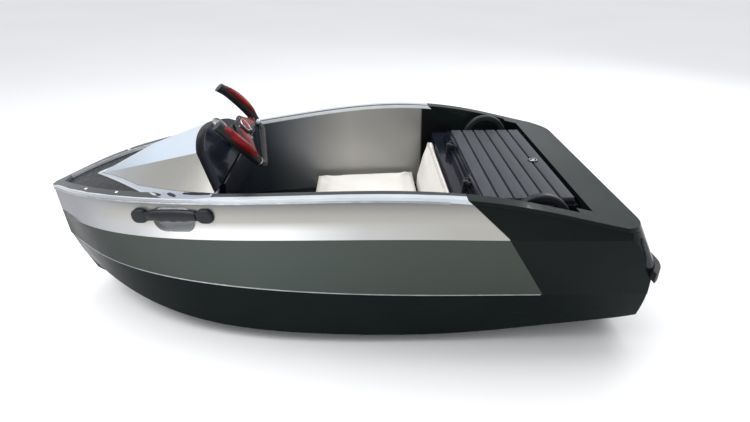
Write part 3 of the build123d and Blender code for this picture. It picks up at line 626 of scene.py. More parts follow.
def sweep(form, path, section, up, closed=False):
    """Adds a section of (across, above) points swept along a path; the section may change along it."""
    rings = []
    last = len(path) - 1
    for i, point in enumerate(path):
        before = path[i - 1] if i or closed else point
        after = path[(i + 1) % len(path)] if i < last or closed else point
        along = (after - before).normalized()
        side = along.cross(Vector(up)).normalized()
        top = side.cross(along)
        outline = section(i / last) if callable(section) else section
        rings.append([form.verts.new(point + side * a + top * b) for a, b in outline])
    stitch(form, rings + rings[:1] * closed)
    if not closed:
        form.faces.new(rings[0])
        form.faces.new(rings[-1][::-1])


def circle(radius, count):
    """Round section of a number of points."""
    return [(radius * cos(2 * pi * i / count), radius * sin(2 * pi * i / count)) for i in range(count)]


def strip(width, height, sunk=0.0):
    """Section of a flat strip with chamfered upper edges, its foot sunk a little."""
    half = width / 2
    edge = min(height, width) * 0.35
    return [(-half, -sunk), (-half, height - edge), (-half + edge, height), (half - edge, height),
            (half, height - edge), (half, -sunk)]


def slab(form, low, high, out, foot, top, edge, segments=2):
    """Adds a rounded box over the plan of another, grown outwards a little, between two heights."""
    block(form, (low.x - out, low.y - out, foot), (high.x + out, high.y + out, top), edge, segments)


def block(form, low, high, edge, segments=2):
    """Adds a box between two corners with rounded edges."""
    made = bmesh.ops.create_cube(form, size=1.0)["verts"]
    for vert in made:
        vert.co = Vector([a + (b - a) * (c + 0.5) for a, b, c in zip(low, high, vert.co)])
    edges = list(dict.fromkeys(e for v in made for e in v.link_edges))
    bmesh.ops.bevel(form, geom=edges, offset=edge, segments=segments, profile=0.5, affect="EDGES")


def skin(mesh):
    """Search tree over a mesh's faces."""
    return BVHTree.FromPolygons([v.co for v in mesh.vertices], [p.vertices for p in mesh.polygons])


TREES = {}


def from_above(x, y, *names):
    """Highest point of some nodes at a place in plan, with the face's direction."""
    return touch((x, y, 1), -UP, *names)


def touch(start, toward, *names):
    """First point that a ray meets on some nodes, with the face's direction."""
    best = None
    for name in names:
        if name not in TREES:
            TREES[name] = skin(NODES[name].data)
        place, normal, _, distance = TREES[name].ray_cast(Vector(start), Vector(toward))
        if place is not None and (best is None or distance < best[2]):
            best = (place, normal, distance)
    return best[0], best[1]


def smoothed(path):
    """Path with its inner points drawn towards their neighbours."""
    for _ in range(SMOOTH_ROUNDS):
        inner = [(a + b * 2 + c) / 4 for a, b, c in zip(path, path[1:], path[2:])]
        path = [path[0], *inner, path[-1]]
    return path


def mirrored(path):
    """Path on the other side of the boat."""
    return [Vector((p.x, -p.y, p.z)) for p in path]


def both_sides(form, line, section):
    """Adds a section swept along a line and along its mirror image."""
    for path in (line, mirrored(line)):
        sweep(form, path, section, UP)


def facing(place, normal):
    """Frame at a point with its Z axis along a direction."""
    turn = Vector(normal).to_track_quat("Z", "Y").to_matrix().to_4x4()
    return Matrix.Translation(place) @ turn


def up_of(place):
    """Direction of a frame's Z axis."""
    return place.to_3x3() @ UP


def bent(start, corner, end, count):
    """Points of a round bend about a corner."""
    shares = [k / count for k in range(count + 1)]
    return [start * (1 - t) ** 2 + corner * 2 * t * (1 - t) + end * t ** 2 for t in shares]


SCREW_SIDES = 14
SCREW = [(0, 0.0022), (0.0016, 0.0019), (0.0034, 0.0021), (0.0046, 0.0008), (0.005, -0.001)]


def screws(name, spots, finish="steel", body="hull", scale=1.0, slot=None):
    """Small pan heads, each at a (place, direction)."""
    form = bmesh.new()
    for place, normal in spots:
        lathe(form, [(r * scale, h * scale) for r, h in SCREW], facing(place, normal), SCREW_SIDES)
    piece(name, form, finish, body, slot=slot)


# Upholstery
CUSHION_VOXEL = 0.009
SWELL_FRAMES = 20
SWELL_PRESSURE = 4.0
PIPING_R = 0.0042
PIPING_SIDES = 10
PIPING_PROUD = PIPING_R * 0.35
PIPING_STEP = 0.012
CORNER_R = 0.05
CORNER_STEPS = 6
BENCH_ROOM = 0.008
BENCH_CROWN = 0.016
BACK_ROOM = 0.006
BACK_CROWN = 0.014


def swell(cushion, cap, held_below):
    """Inflates a cushion as cloth under pressure, with its foot held and every move capped."""
    start = [v.co.copy() for v in cushion.data.vertices]
    held = cushion.vertex_groups.new(name="held")
    held.add([i for i, co in enumerate(start) if co.z < held_below], 1.0, "REPLACE")
    cloth = cushion.modifiers.new("cloth", "CLOTH")
    cloth.settings.use_pressure = True
    cloth.settings.uniform_pressure_force = SWELL_PRESSURE
    cloth.settings.vertex_group_mass = "held"
    cloth.settings.effector_weights.gravity = 0
    for step in range(1, SWELL_FRAMES + 1):
        bpy.context.scene.frame_set(step)
    final = cushion.evaluated_get(bpy.context.evaluated_depsgraph_get())
    moved = [v.co.copy() for v in final.data.vertices]
    cushion.modifiers.clear()
    cushion.vertex_groups.clear()
    bpy.context.scene.frame_set(1)
    for vert, old, new in zip(cushion.data.vertices, start, moved):
        move = new - old
        vert.co = old + move * min(1.0, cap / max(move.length, 1e-9))


def cushion(name, node, shrink, cap):
    """Upholstered cushion in the room of its plain solid, with crowned faces."""
    low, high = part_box(node)
    middle = (low + high) / 2
    mesh = NODES[node].data.copy()
    mesh.name = name
    mesh.materials.clear()
    mesh.materials.append(FINISHES["seat_vinyl"])
    made = shown(name, mesh)
    for vert in mesh.vertices:
        vert.co = middle + Vector([(c - m) * (1 - 2 * shrink / (h - l))
                                   for c, m, l, h in zip(vert.co, middle, low, high)])
    remesh = made.modifiers.new("remesh", "REMESH")
    remesh.voxel_size = CUSHION_VOXEL
    apply_modifiers(made)
    swell(made, cap, low.z + shrink + CUSHION_VOXEL)
    made.modifiers.new("smooth", "SMOOTH").iterations = 4
    made.modifiers.new("finer", "SUBSURF").levels = 1
    apply_modifiers(made)
    smooth(made.data, 80)
    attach(made, "hull")
    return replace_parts(made, node)


def rounded_loop(corners, radius):
    """Closed path through corners with round bends."""
    path = []
    for i, corner in enumerate(corners):
        start = corner + (corners[i - 1] - corner).normalized() * radius
        end = corner + (corners[(i + 1) % len(corners)] - corner).normalized() * radius
        path += bent(start, corner, end, CORNER_STEPS)
    return path


def finer(path, step, closed=True):
    """Path with points put in so that none are further apart than a step."""
    made = []
    for i, point in enumerate(path if closed else path[:-1]):
        ahead = path[(i + 1) % len(path)]
        parts = max(1, round((ahead - point).length / step))
        made += [point.lerp(ahead, k / parts) for k in range(parts)]
    return made if closed else made + [path[-1]]


def piping(name, path, padding):
    """Sewn cord laid round a cushion on its skin."""
    cover = skin(padding.data)
    laid = []
    for point in path:
        place, normal, _, _ = cover.find_nearest(point)
        laid.append(place + normal * PIPING_PROUD)
    form = bmesh.new()
    sweep(form, laid, circle(PIPING_R, PIPING_SIDES), (0.3, 0.2, 1), closed=True)
    piece(name, form, "seat_piping", slot="seat_vinyl")


def seat():
    """Bench and backrest with their piping."""
    bench = cushion("seat_bench", "seat_cushion", BENCH_ROOM, BENCH_CROWN)
    low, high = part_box("seat_cushion")
    front = max(p.y for p in slice_points("seat_cushion", 0, high.x - 0.002))
    corners = [Vector((high.x, front, 0)), Vector((low.x, high.y, 0)), Vector((low.x, -high.y, 0)),
               Vector((high.x, -front, 0))]
    for name, z in (("seat_piping_top", high.z - BENCH_ROOM), ("seat_piping_low", low.z + 2 * BENCH_ROOM)):
        path = finer(rounded_loop([Vector((c.x, c.y, z)) for c in corners], CORNER_R), PIPING_STEP)
        piping(name, path, bench)
    back = cushion("seat_back", "back_cushion", BACK_ROOM, BACK_CROWN)
    low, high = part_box("back_cushion")
    crown = [Vector((high.x - 0.002, y, low.z + 0.01)) for y in (high.y, low.y)]
    crown += [Vector((high.x - 0.03, y, high.z)) for y in (low.y, high.y)]
    piping("back_piping", finer(rounded_loop(crown, CORNER_R), PIPING_STEP), back)


def wheel_place():
    """Frame of the steering wheel: X to the right grip, Y up the grips, Z towards the driver."""
    joint = next(j for j in frame["joints"] if j["name"] == "steering")
    axis = Vector(joint["axis"]).normalized()
    middle = [sum(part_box(f"wheel_grip_{side}"), Vector()) / 2 for side in ("port", "starboard")]
    right = middle[1] - middle[0]
    right = (right - axis * right.dot(axis)).normalized()
    turn = Matrix((right, axis.cross(right), axis)).transposed().to_4x4()
    return Matrix.Translation(Vector(joint["pos_m"])) @ turn


# Steering wheel, in its own frame: the grips, their red inlays and the lower bow
GRIP_HALF = 0.156
GRIP_FOOT = -0.084
GRIP_TOP = 0.124
GRIP_BOW = 0.009
GRIP_CURVE = 0.014
GRIP_MIDDLE = 0.02
GRIP_REACH = 0.1
GRIP_R = 0.0146
GRIP_PALM = 0.0062
GRIP_FLARE = 0.0034
FLARE_FROM = 0.09
FLARE_LENGTH = 0.034
GRIP_DEEP = 1.08
GRIP_STEPS = 40
GRIP_SIDES = 28
INLAY = (-0.056, 0.104)
INLAY_WIDE = radians(146)
INLAY_TURN = radians(10)
INLAY_LIFT = 0.0022
INLAY_SUNK = 0.0006
INLAY_T = 0.0015
INLAY_ROWS = 36
INLAY_COLUMNS = 16
BOW_R = 0.0122
BOW_LOW = -0.112
BOW_BEND = 0.034
BOW_BEND_STEPS = 8
BOW_HALF = GRIP_HALF - 0.01
BOW_TOP = GRIP_FOOT + 0.01
BOW_DIP = -0.004
BOW_STEP = 0.008
CLIP_R = 0.016
CLIP_TAPER = 0.0018
CLIP_FOOT = GRIP_FOOT - 0.004
CLIP_LENGTH = 0.016
CLIP_STEPS = 6
SPOKE = ((0.018, 0.03), (0.052, 0.026), (0.092, -0.018), (0.139, -0.046), (0.139, -0.074),
         (0.086, -0.062), (0.044, -0.05), (0.018, -0.052))
SPOKE_T = 0.0065
SPOKE_INLAY = ((0.037, 0.018), (0.056, 0.014), (0.092, -0.026), (0.128, -0.05), (0.128, -0.066),
               (0.09, -0.054), (0.054, -0.04), (0.037, -0.034))
HUB = [(0, -0.0138), (0.03, -0.0138), (0.0338, -0.01), (0.0338, 0.011), (0.03, 0.015),
       (0.024, 0.0158), (0.0235, 0.014), (0, 0.014)]
BUTTON = [(0.0215, 0.0138), (0.0215, 0.0165), (0.018, 0.0178), (0, 0.0182)]
BUTTON_RING = [(0.023, 0.014), (0.0232, 0.017), (0.0258, 0.0174), (0.0268, 0.0156), (0.0266, 0.014)]
WHEEL_SCREWS = ((0.03, 0.022), (0.03, -0.043), (0.132, -0.058))


def grip_radius(v):
    """Swollen in the palm, waisted at the foot and flared at the cut end."""
    palm = sin(pi * (v - GRIP_FOOT) / (GRIP_TOP - GRIP_FOOT))
    flare = max(0, (v - FLARE_FROM) / FLARE_LENGTH)
    return GRIP_R + GRIP_PALM * palm + GRIP_FLARE * flare


def grip_point(side, v, turn, lift=0.0):
    """Point on a grip; turn is measured from the driver's side towards the outside."""
    bend = 1 - ((v - GRIP_MIDDLE) / GRIP_REACH) ** 2
    radius = grip_radius(v) + lift
    across = GRIP_HALF + GRIP_CURVE * (bend - 0.5) + radius * sin(turn)
    return Vector((side * across, v, GRIP_BOW * bend + GRIP_DEEP * radius * cos(turn)))


def grip(name, node, side, place):
    """Black moulded grip."""
    form = bmesh.new()
    rings = []
    for i in range(GRIP_STEPS + 1):
        v = GRIP_FOOT + (GRIP_TOP - GRIP_FOOT) * i / GRIP_STEPS
        rings.append([form.verts.new(place @ grip_point(side, v, 2 * pi * k / GRIP_SIDES))
                      for k in range(GRIP_SIDES)])
    stitch(form, rings)
    form.faces.new(rings[0])
    cap = form.faces.new(rings[-1][::-1])
    bmesh.ops.inset_region(form, faces=[cap], thickness=0.004, depth=-0.003)
    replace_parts(piece(name, form, "wheel_black", "steering_wheel"), node)


def inlay(name, side, place):
    """Red lacquered shell let into the driver's and outer side of a grip, pointed at both ends."""
    form = bmesh.new()
    low, high = INLAY
    grid = []
    for i in range(INLAY_ROWS + 1):
        share = i / INLAY_ROWS
        v = low + (high - low) * share
        half = INLAY_WIDE * (0.12 + 0.88 * sqrt(max(0.0, sin(pi * (0.06 + 0.88 * share)))))
        ends = min(1.0, 8 * share, 8 * (1 - share))
        row = []
        for k in range(INLAY_COLUMNS + 1):
            lean = 2 * k / INLAY_COLUMNS - 1
            lift = INLAY_LIFT * (1 - abs(lean) ** 6) * ends - INLAY_SUNK
            row.append(form.verts.new(place @ grip_point(side, v, INLAY_TURN + lean * half / 2, lift)))
        grid.append(row)
    stitch(form, grid, around=False)
    made = piece(name, form, "grip_red", "steering_wheel", angle=80)
    made.modifiers.new("shell", "SOLIDIFY").thickness = -INLAY_T


def wheel_bow(place):
    """Lower bow that joins the feet of the two grips."""
    corners = [Vector((-BOW_HALF, BOW_TOP, BOW_DIP)), Vector((-BOW_HALF, BOW_LOW, 0)),
               Vector((BOW_HALF, BOW_LOW, 0)), Vector((BOW_HALF, BOW_TOP, BOW_DIP))]
    path = [corners[0]]
    for before, corner, after in zip(corners, corners[1:], corners[2:]):
        start = corner + (before - corner).normalized() * min(BOW_BEND, (before - corner).length * 0.95)
        end = corner + (after - corner).normalized() * BOW_BEND
        path += bent(start, corner, end, BOW_BEND_STEPS)
    path.append(corners[3])
    form = bmesh.new()
    sweep(form, [place @ p for p in finer(path, BOW_STEP, closed=False)], circle(BOW_R, 20), up_of(place))
    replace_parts(piece("wheel_bow", form, "wheel_black", "steering_wheel"), "wheel_rim")


def steering_wheel():
    """Yoke with two inlaid grips, a lower bow, silver sleeves and a spoked hub."""
    place = wheel_place()
    for side, word in ((-1, "port"), (1, "starboard")):
        grip(f"grip_{word}", f"wheel_grip_{word}", side, place)
        inlay(f"grip_inlay_{word}", side, place)
    wheel_bow(place)
    wheel_clips(place)
    wheel_boss(place)


def wheel_clips(place):
    """Silver sleeves where the grips pass into the lower bow."""
    form = bmesh.new()
    for side in (-1, 1):
        heights = [CLIP_FOOT + CLIP_LENGTH * k / CLIP_STEPS for k in range(CLIP_STEPS + 1)]
        path = [place @ Vector((side * BOW_HALF, v, 0)) for v in heights]
        sweep(form, path, lambda t: circle(CLIP_R - CLIP_TAPER * abs(2 * t - 1) ** 3, 24), up_of(place))
    piece("wheel_sleeves", form, "trim_silver", "steering_wheel")


def plate(form, outline, low, high, place, edge):
    """Adds a flat plate of an outline between two heights, its edges rounded."""
    foot = [form.verts.new(place @ Vector((u, v, low))) for u, v in outline]
    face = form.faces.new(foot)
    raised = bmesh.ops.extrude_face_region(form, geom=[face])["geom"]
    tops = [g for g in raised if isinstance(g, bmesh.types.BMVert)]
    bmesh.ops.translate(form, verts=tops, vec=up_of(place) * (high - low))
    near = list(dict.fromkeys(e for v in tops for e in v.link_edges))
    bmesh.ops.bevel(form, geom=near, offset=edge, segments=3, profile=0.5, affect="EDGES")


def wheel_boss(place):
    """Hub with two spokes, red inlays on them, a ringed button and its screws."""
    form = bmesh.new()
    for side in (-1, 1):
        plate(form, [(side * u, v) for u, v in SPOKE], -SPOKE_T, SPOKE_T, place, 0.004)
    lathe(form, HUB, place, 48)
    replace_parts(piece("wheel_boss", form, "wheel_black", "steering_wheel"), "wheel_hub")
    form = bmesh.new()
    for side in (-1, 1):
        plate(form, [(side * u, v) for u, v in SPOKE_INLAY], 0.0055, 0.009, place, 0.0022)
    lathe(form, BUTTON, place, 40)
    piece("wheel_inlays", form, "grip_red", "steering_wheel")
    form = bmesh.new()
    lathe(form, BUTTON_RING, place, 48)
    piece("wheel_button_ring", form, "steel", "steering_wheel")
    spots = [(place @ Vector((side * u, v, SPOKE_T)), up_of(place))
             for side in (-1, 1) for u, v in WHEEL_SCREWS]
    screws("wheel_screws", spots, "steel", "steering_wheel", 0.7)


def dash_place():
    """Frame on the dash face at the gauge, Z towards the driver."""
    low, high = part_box("gauge")
    normal = Vector((-(high.z - low.z), 0, high.x - low.x)).normalized()
    place, _ = touch((low + high) / 2 + normal * 0.1, -normal, "gauge")
    return facing(place, normal)


# Dial on the dash, in its own frame
DIAL_R = 0.03
BEZEL = [(DIAL_R + 0.004, -0.009), (DIAL_R + 0.005, -0.002), (DIAL_R + 0.003, 0.0025),
         (DIAL_R - 0.001, 0.003), (DIAL_R - 0.0035, 0.0005), (DIAL_R - 0.0035, -0.001)]
MARKS = 19
MARKS_FROM = radians(-225)
MARKS_TO = radians(45)
MARK_END = 0.0245
LONG_MARK = (0.0185, 0.0011)
SHORT_MARK = (0.0212, 0.0006)
MARK_LIFT = 0.0002
MARK_T = 0.0003
POINTER_TURN = radians(-190)
POINTER = (-0.006, 0.0, 0.0215)
POINTER_LIFT = 0.0012
POINTER_CAP = [(0.0034, 0.0002), (0.0034, 0.0018), (0.0026, 0.0024), (0, 0.0025)]


def dial_line(place, turn, radii, lift):
    """Points along one direction of the dial, a little above its face."""
    out = Vector((cos(turn), sin(turn), 0))
    return [place @ (out * r + UP * lift) for r in radii]


def instruments():
    """Dial in a raised bezel with plain marks and a pointer."""
    place = dash_place()
    form = bmesh.new()
    lathe(form, BEZEL, place, 48)
    piece("gauge_bezel", form, "gauge_face")
    form = bmesh.new()
    for i in range(MARKS):
        turn = MARKS_FROM + (MARKS_TO - MARKS_FROM) * i / (MARKS - 1)
        inner, width = SHORT_MARK if i % 3 else LONG_MARK
        sweep(form, dial_line(place, turn, (inner, MARK_END), MARK_LIFT), strip(width, MARK_T), up_of(place))
    piece("gauge_marks", form, "mark_white", slot="gauge_face")
    form = bmesh.new()
    path = dial_line(place, POINTER_TURN, POINTER, POINTER_LIFT)
    sweep(form, path, lambda t: strip(0.0022 - 0.0014 * t, 0.0006), up_of(place))
    lathe(form, POINTER_CAP, place, 20)
    piece("gauge_pointer", form, "grip_red")


# Deck trim, with each rib as start, end and width
VEE_STEPS = 30
VEE_WIDTH = 0.009
VEE_T = 0.0032
DECK_RIBS = (((0.594, 0.326), (0.556, 0.354), 0.012), ((0.536, 0.34), (0.5, 0.376), 0.014),
             ((0.478, 0.358), (0.384, 0.384), 0.017))
RIB_STEPS = 8
RIB_T = 0.0022
TRIM_SUNK = 0.001
DECK_CAPS = ((0.874, 0.204), (0.73, 0.284))
DECK_CAP = [(0.0065, -0.001), (0.0065, 0.001), (0.0054, 0.0026), (0.0028, 0.0034), (0, 0.0036)]


def vee_line():
    """Line where the dark foredeck meets the console deck, port side, bow to the gunwale's bright lip."""
    start = Vector((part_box("console_deck")[1].x + 0.004, 0.001))
    path = [start.lerp(Vector(VEE_END), i / (VEE_STEPS - 1)) for i in range(VEE_STEPS)]
    return [from_above(p.x, p.y, "foredeck", "console_deck", "gunwale_cap")[0] for p in path]


def rib_share(t):
    """Share of a rib's width along its length, drawn in at both ends."""
    return 0.35 + 0.65 * sin(pi * (0.08 + 0.84 * t))


def deck_trim():
    """Silver strip along the vee, dark ribs beside the cowl and capped deck screws, both sides."""
    form = bmesh.new()
    both_sides(form, vee_line(), strip(VEE_WIDTH, VEE_T, TRIM_SUNK))
    piece("vee_trim", form, "trim_silver")
    form = bmesh.new()
    for start, end, width in DECK_RIBS:
        for side in (-1, 1):
            flat = [Vector(start).lerp(Vector(end), i / RIB_STEPS) for i in range(RIB_STEPS + 1)]
            path = [from_above(p.x, side * p.y, "console_deck", "gunwale_cap")[0] for p in flat]
            sweep(form, path, lambda t: strip(width * rib_share(t), RIB_T, TRIM_SUNK), UP)
    piece("deck_ribs", form, "deck_dark")
    form = bmesh.new()
    for x, y in DECK_CAPS:
        for side in (-1, 1):
            lathe(form, DECK_CAP, facing(*from_above(x, side * y, "foredeck", "gunwale_cap")), 24)
    piece("deck_caps", form, "steel")


# Beads along the flanks, and flange down the corners of the transom
BEAD_SIDES = 10
RAIL_BEAD_R = 0.0026
CAP_BEAD_R = 0.003
BEAD_PROUD = Vector((0, 0.0012, -0.0012))
FLANGE_LOW = 0.374
FLANGE_HIGH = 0.492
FLANGE_STEPS = 15
FLANGE_WIDTH = 0.01
FLANGE_T = 0.005
FLANGE_SUNK = 0.01


def bead(name, line, radius):
    """Round bead along a line, both sides."""
    form = bmesh.new()
    both_sides(form, line, circle(radius, BEAD_SIDES))
    piece(name, form, "jet_alloy", slot="trim_silver")


def flank_lines():
    """Bright bead along the spray rail and one under the gunwale cap, both sides."""
    low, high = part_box("topsides")
    rail = edge_line("topsides", 0, low.x + 0.008, high.x - 0.075, 60, lambda p: p.y - 20 * p.z)
    bead("spray_rail", smoothed(rail), RAIL_BEAD_R)
    low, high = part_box("gunwale_cap")
    lip = edge_line("gunwale_cap", 0, low.x + 0.07, high.x - 0.01, 70, lambda p: p.y - 0.35 * p.z)
    bead("gunwale_bead", [p + BEAD_PROUD for p in smoothed(lip)], CAP_BEAD_R)


def flange_section(t):
    """Strip across the flange, half as wide at its upper end."""
    return strip(FLANGE_WIDTH * (1 + min(1, 6 * (1 - t))), FLANGE_T, FLANGE_SUNK)


def stern_flange():
    """Raised flange down both corners of the sloping transom."""
    line = edge_line("stern_shell", 2, FLANGE_LOW, FLANGE_HIGH, FLANGE_STEPS, lambda p: p.y - p.x)
    low, high = [sum(group, Vector()) / 3 for group in (line[:3], line[-3:])]
    path = [low.lerp(high, i / FLANGE_STEPS) for i in range(FLANGE_STEPS + 1)]
    form = bmesh.new()
    for side, course in ((1, path), (-1, mirrored(path))):
        sweep(form, course, flange_section, (-0.68, 0.68 * side, 0.25))
    piece("stern_flange", form, "slat_grey", slot="gelcoat_black")


# Hatch: slats on a bed, front rail with a finger slot, and latch
SLATS = 6
SLAT_GROOVE = 0.008
SLAT_EDGE = 0.0022
BED_IN = 0.001
BED_T = 0.003
BED_EDGE = 0.0008
SLAT_SCREW_IN = 0.014
SLAT_SCREW_SUNK = 0.0006
RAIL_GAP = 0.002
RAIL_DEEP = 0.0115
RAIL_DOWN = 0.001
RAIL_EDGE = 0.002
SLOT_HALF = 0.15
SLOT_LAP = 0.004
SLOT_BACK = 0.0045
SLOT_FLOOR = 0.003
LATCH_CUP = [(0, 0.0012), (0.0125, 0.0012), (0.0135, 0.003), (0.0155, 0.004), (0.0188, 0.0036),
             (0.02, 0.0015), (0.02, 0.0)]
LATCH_RING_R = 0.0142
LATCH_RING_UP = 0.004
LATCH_RING_T = 0.0012
LATCH_BARREL = [(0.0062, 0.0012), (0.0062, 0.0032), (0.0052, 0.0038), (0, 0.0038)]
LATCH_BAR = Vector((0.0008, 0.0046, 0.0005))
LATCH_BAR_UP = 0.0039


def hatch():
    """Slats with eased edges, their screws, the front rail with its slot, and the ring latch."""
    low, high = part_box("hatch_slats")
    pitch = (high.x - low.x) / SLATS
    form = bmesh.new()
    slab(form, low, high, -BED_IN, low.z, low.z + BED_T, BED_EDGE, 1)
    for i in range(SLATS):
        aft = low.x + i * pitch + SLAT_GROOVE / 2
        block(form, (aft, low.y, low.z), (aft + pitch - SLAT_GROOVE, high.y, high.z), SLAT_EDGE)
    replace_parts(piece("deck_slats", form, "slat_grey", "hatch"), "hatch_slats")
    out = high.y - SLAT_SCREW_IN
    spots = [(Vector((low.x + (i + 0.5) * pitch, side * out, high.z - SLAT_SCREW_SUNK)), UP)
             for i in range(SLATS) for side in (-1, 1)]
    screws("slat_screws", spots, "blackened", "hatch", 0.8, slot="steel")
    hatch_rail(low, high)
    latch()


def hatch_rail(low, high):
    """Gloss front rail of the lid with a long finger slot."""
    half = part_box("hatch_lid")[1].y
    back = high.x + RAIL_GAP
    front = back + RAIL_DEEP
    top = high.z - RAIL_DOWN
    lap = SLOT_HALF + SLOT_LAP
    form = bmesh.new()
    block(form, (back, -half, low.z), (front, -SLOT_HALF, top), RAIL_EDGE)
    block(form, (back, SLOT_HALF, low.z), (front, half, top), RAIL_EDGE)
    block(form, (back, -lap, low.z), (back + SLOT_BACK, lap, top), 0.0015)
    block(form, (back, -lap, low.z), (front, lap, low.z + SLOT_FLOOR), 0.001)
    piece("hatch_rail", form, "dash_black", "hatch")


def latch():
    """Flush ring latch: a turned cup, a ring, and a barrel with a bar across it."""
    low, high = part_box("hatch_latch")
    middle = (low + high) / 2
    place = Matrix.Translation((middle.x, middle.y, low.z))
    form = bmesh.new()
    lathe(form, LATCH_CUP, place, 40)
    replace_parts(piece("latch_cup", form, "handle_black", "hatch"), "hatch_latch")
    form = bmesh.new()
    ring = [place @ Vector((u, v, LATCH_RING_UP)) for u, v in circle(LATCH_RING_R, 40)]
    sweep(form, ring, circle(LATCH_RING_T, 8), UP, closed=True)
    lathe(form, LATCH_BARREL, place, 24)
    bar = place @ (UP * LATCH_BAR_UP)
    block(form, bar - LATCH_BAR, bar + LATCH_BAR, 0.0002, 1)
    piece("latch_ring", form, "steel", "hatch")


# Sleeves of the bow handles and feet of the stern handles
SLEEVE_END = 0.062
SLEEVE_STEPS = 32
SLEEVE_SIDES = 28
SLEEVE_UP = UP * 0.003
FOOT = Vector((0.024, 0.019, 0.0))
FOOT_IN = 0.013
FOOT_T = 0.005
FOOT_EDGE = 0.002
FOOT_SCREW = 0.0185


def bow_sleeves():
    """Moulded sleeves on the bars of the bow handles, thick in the palm and drawn in at both ends."""
    low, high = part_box("bow_handle_port")
    line = []
    for i in range(SLEEVE_STEPS + 1):
        x = low.x + SLEEVE_END + (high.x - low.x - 2 * SLEEVE_END) * i / SLEEVE_STEPS
        cut = slice_points("bow_handle_port", 0, x)
        line.append(Vector([(min(p[k] for p in cut) + max(p[k] for p in cut)) / 2 for k in range(3)]))
    form = bmesh.new()
    both_sides(form, [p + SLEEVE_UP for p in smoothed(line)], sleeve_section)
    piece("bow_sleeves", form, "handle_black")


def sleeve_section(t):
    """Oval across a sleeve at a share of its length, waved for the fingers below."""
    palm = sin(pi * t) ** 0.5
    wave = 0.0012 * cos(2 * pi * 4 * t) * palm
    wide = 0.0125 + 0.0015 * palm
    return [(wide * a, (0.015 + 0.0075 * palm + wave * (b < 0)) * b) for a, b in circle(1.0, SLEEVE_SIDES)]


def stern_grips():
    """Feet under the arched stern handles, each with two screws."""
    form = bmesh.new()
    spots = []
    for word in ("port", "starboard"):
        low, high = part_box(f"stern_handle_{word}")
        for x in (low.x + FOOT_IN, high.x - FOOT_IN):
            under = Vector((x, (low.y + high.y) / 2, low.z))
            top = under + UP * FOOT_T
            block(form, under - FOOT, top + FOOT, FOOT_EDGE)
            spots += [(top + Vector((dx, 0, 0)), UP) for dx in (-FOOT_SCREW, FOOT_SCREW)]
    piece("handle_feet", form, "handle_black")
    screws("handle_screws", spots)


# Jet unit and drive bay
JET_Z = 0.18
JET_FACE_X = -0.995
JET_BOLTS = 8
BOLT_RING = 0.079
WASHER = [(0.0105, 0.0), (0.0105, 0.0016), (0.0075, 0.0017)]
BOLT_HEAD = [(0.0075, 0.0016), (0.0075, 0.0064), (0.0066, 0.0072), (0, 0.0072)]
DRAIN_COLLAR = [(0.015, 0.0), (0.015, 0.0035), (0.0135, 0.0048), (0.0105, 0.005)]
DRAIN_HEAD = [(0.0105, 0.0048), (0.0105, 0.0085), (0.0098, 0.009), (0, 0.009)]
CASE_LID = 0.035
CASE_RIBS = (-0.2, -0.07, 0.07, 0.2)
RIB_HALF = 0.006
POST_Y = 0.235
POST = [(0.014, 0.0), (0.014, 0.006), (0.007, 0.007), (0.007, 0.02), (0.006, 0.021), (0, 0.021)]
FINS = 9
FIN_FIRST = 0.014
FIN_PITCH = 0.0105
FIN = [(0.0575, 0.0), (0.0595, 0.0005), (0.06, 0.002), (0.0595, 0.0035), (0.0575, 0.004)]
AFT = (-1, 0, 0)
AHEAD = (1, 0, 0)


def jet_details():
    """Bolts round the jet flange, and a drain plug with a hexagon head."""
    form = bmesh.new()
    for i in range(JET_BOLTS):
        turn = 2 * pi * (i + 0.5) / JET_BOLTS
        place = facing(Vector((JET_FACE_X, BOLT_RING * cos(turn), JET_Z + BOLT_RING * sin(turn))), AFT)
        lathe(form, WASHER, place, 24)
        lathe(form, BOLT_HEAD, place, 6)
    piece("jet_bolts", form, "steel")
    low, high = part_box("drain_plug")
    centre = (low + high) / 2
    place = facing(Vector((high.x, centre.y, centre.z)), AFT)
    form = bmesh.new()
    lathe(form, DRAIN_COLLAR, place, 32)
    lathe(form, DRAIN_HEAD, place, 6)
    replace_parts(piece("drain_cap", form, "steel"), "drain_plug")


def drive_bay():
    """Battery case with a lid, ribs and posts, and fins on the motor."""
    low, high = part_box("battery_pack")
    seam = high.z - CASE_LID
    form = bmesh.new()
    slab(form, low, high, 0, low.z, seam, 0.006)
    slab(form, low, high, 0.003, seam + 0.002, high.z, 0.007)
    slab(form, low, high, -0.004, seam - 0.006, seam + 0.008, 0.001)
    for y in CASE_RIBS:
        block(form, (low.x - 0.002, y - RIB_HALF, low.z + 0.01),
              (high.x + 0.002, y + RIB_HALF, seam - 0.01), 0.002)
    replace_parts(piece("battery_case", form, "battery_case"), "battery_pack")
    form = bmesh.new()
    for y in (-POST_Y, POST_Y):
        lathe(form, POST, Matrix.Translation(((low.x + high.x) / 2, y, high.z - 0.001)), 20)
    piece("battery_posts", form, "steel")
    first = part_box("motor")[0].x + FIN_FIRST
    form = bmesh.new()
    for i in range(FINS):
        lathe(form, FIN, facing(Vector((first + FIN_PITCH * i, 0, JET_Z)), AHEAD), 48)
    piece("motor_fins", form, "motor_alloy")


# Setting
FLOOR_GAP = 0.001
FLOOR_HALF = 40.0
SKY = (0.95, 0.97, 1.0, 1)
SKY_STRENGTH = 0.86


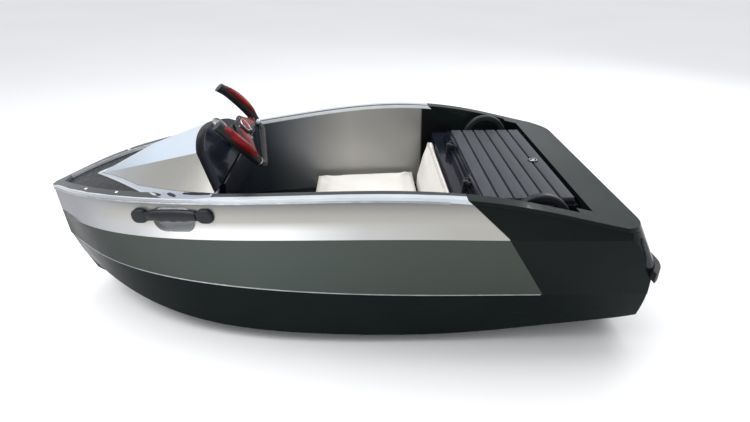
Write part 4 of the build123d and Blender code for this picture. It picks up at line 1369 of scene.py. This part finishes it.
def pale_floor():
    """Wide plain floor under the boat."""
    mesh = bpy.data.meshes.new("floor")
    form = bmesh.new()
    bmesh.ops.create_grid(form, x_segments=4, y_segments=4, size=FLOOR_HALF)
    form.to_mesh(mesh)
    form.free()
    floor = shown("floor", mesh)
    floor.location.z = CAD_BOX[0].z - FLOOR_GAP
    s = Shader("pale_floor", Specular_IOR_Level=0.15)
    s.colour(s.tones((0.9, 0.9, 0.9), (0.93, 0.93, 0.93), 0.4))
    s.gloss(0.75, 0.9, 6)
    mesh.materials.append(s.material)


def area_light(name, at, to, size, energy):
    """White panel light that looks at a point."""
    data = bpy.data.lights.new(name, "AREA")
    data.shape = "RECTANGLE"
    data.size, data.size_y = size
    data.energy = energy
    light = shown(name, data)
    light.location = at
    light.rotation_euler = (Vector(to) - Vector(at)).to_track_quat("-Z", "Y").to_euler()


def studio():
    """Soft light from all round, a broad overhead panel, a key from the bow and a light from behind."""
    world = bpy.data.worlds.new("studio")
    world.use_nodes = True
    sky = world.node_tree.nodes["Background"]
    sky.inputs["Color"].default_value = SKY
    sky.inputs["Strength"].default_value = SKY_STRENGTH
    bpy.context.scene.world = world
    area_light("overhead", (0.0, -0.3, 3.4), (0, 0, 0.4), (4.0, 2.4), 80)
    area_light("key", (2.2, 1.1, 2.9), (-0.3, 0, 0.3), (1.8, 1.8), 62)
    area_light("back", (-3.4, -3.2, 2.8), (0, 0, 0.5), (2.0, 1.5), 44)
    bpy.context.scene.view_settings.view_transform = "Standard"


def camera():
    """Camera of the photograph."""
    data = bpy.data.cameras.new("camera")
    data.lens = CAMERA_LENS
    data.sensor_width = CAMERA_SENSOR
    eye = shown("camera", data)
    eye.location = CAMERA_AT
    eye.rotation_euler = (radians(90 - CAMERA_DOWN), 0, radians(180 + CAMERA_TURN))
    bpy.context.scene.camera = eye


dress_frame()
seat()
steering_wheel()
instruments()
deck_trim()
flank_lines()
stern_flange()
hatch()
bow_sleeves()
stern_grips()
jet_details()
drive_bay()
pale_floor()
studio()
camera()

bpy.context.view_layer.update()
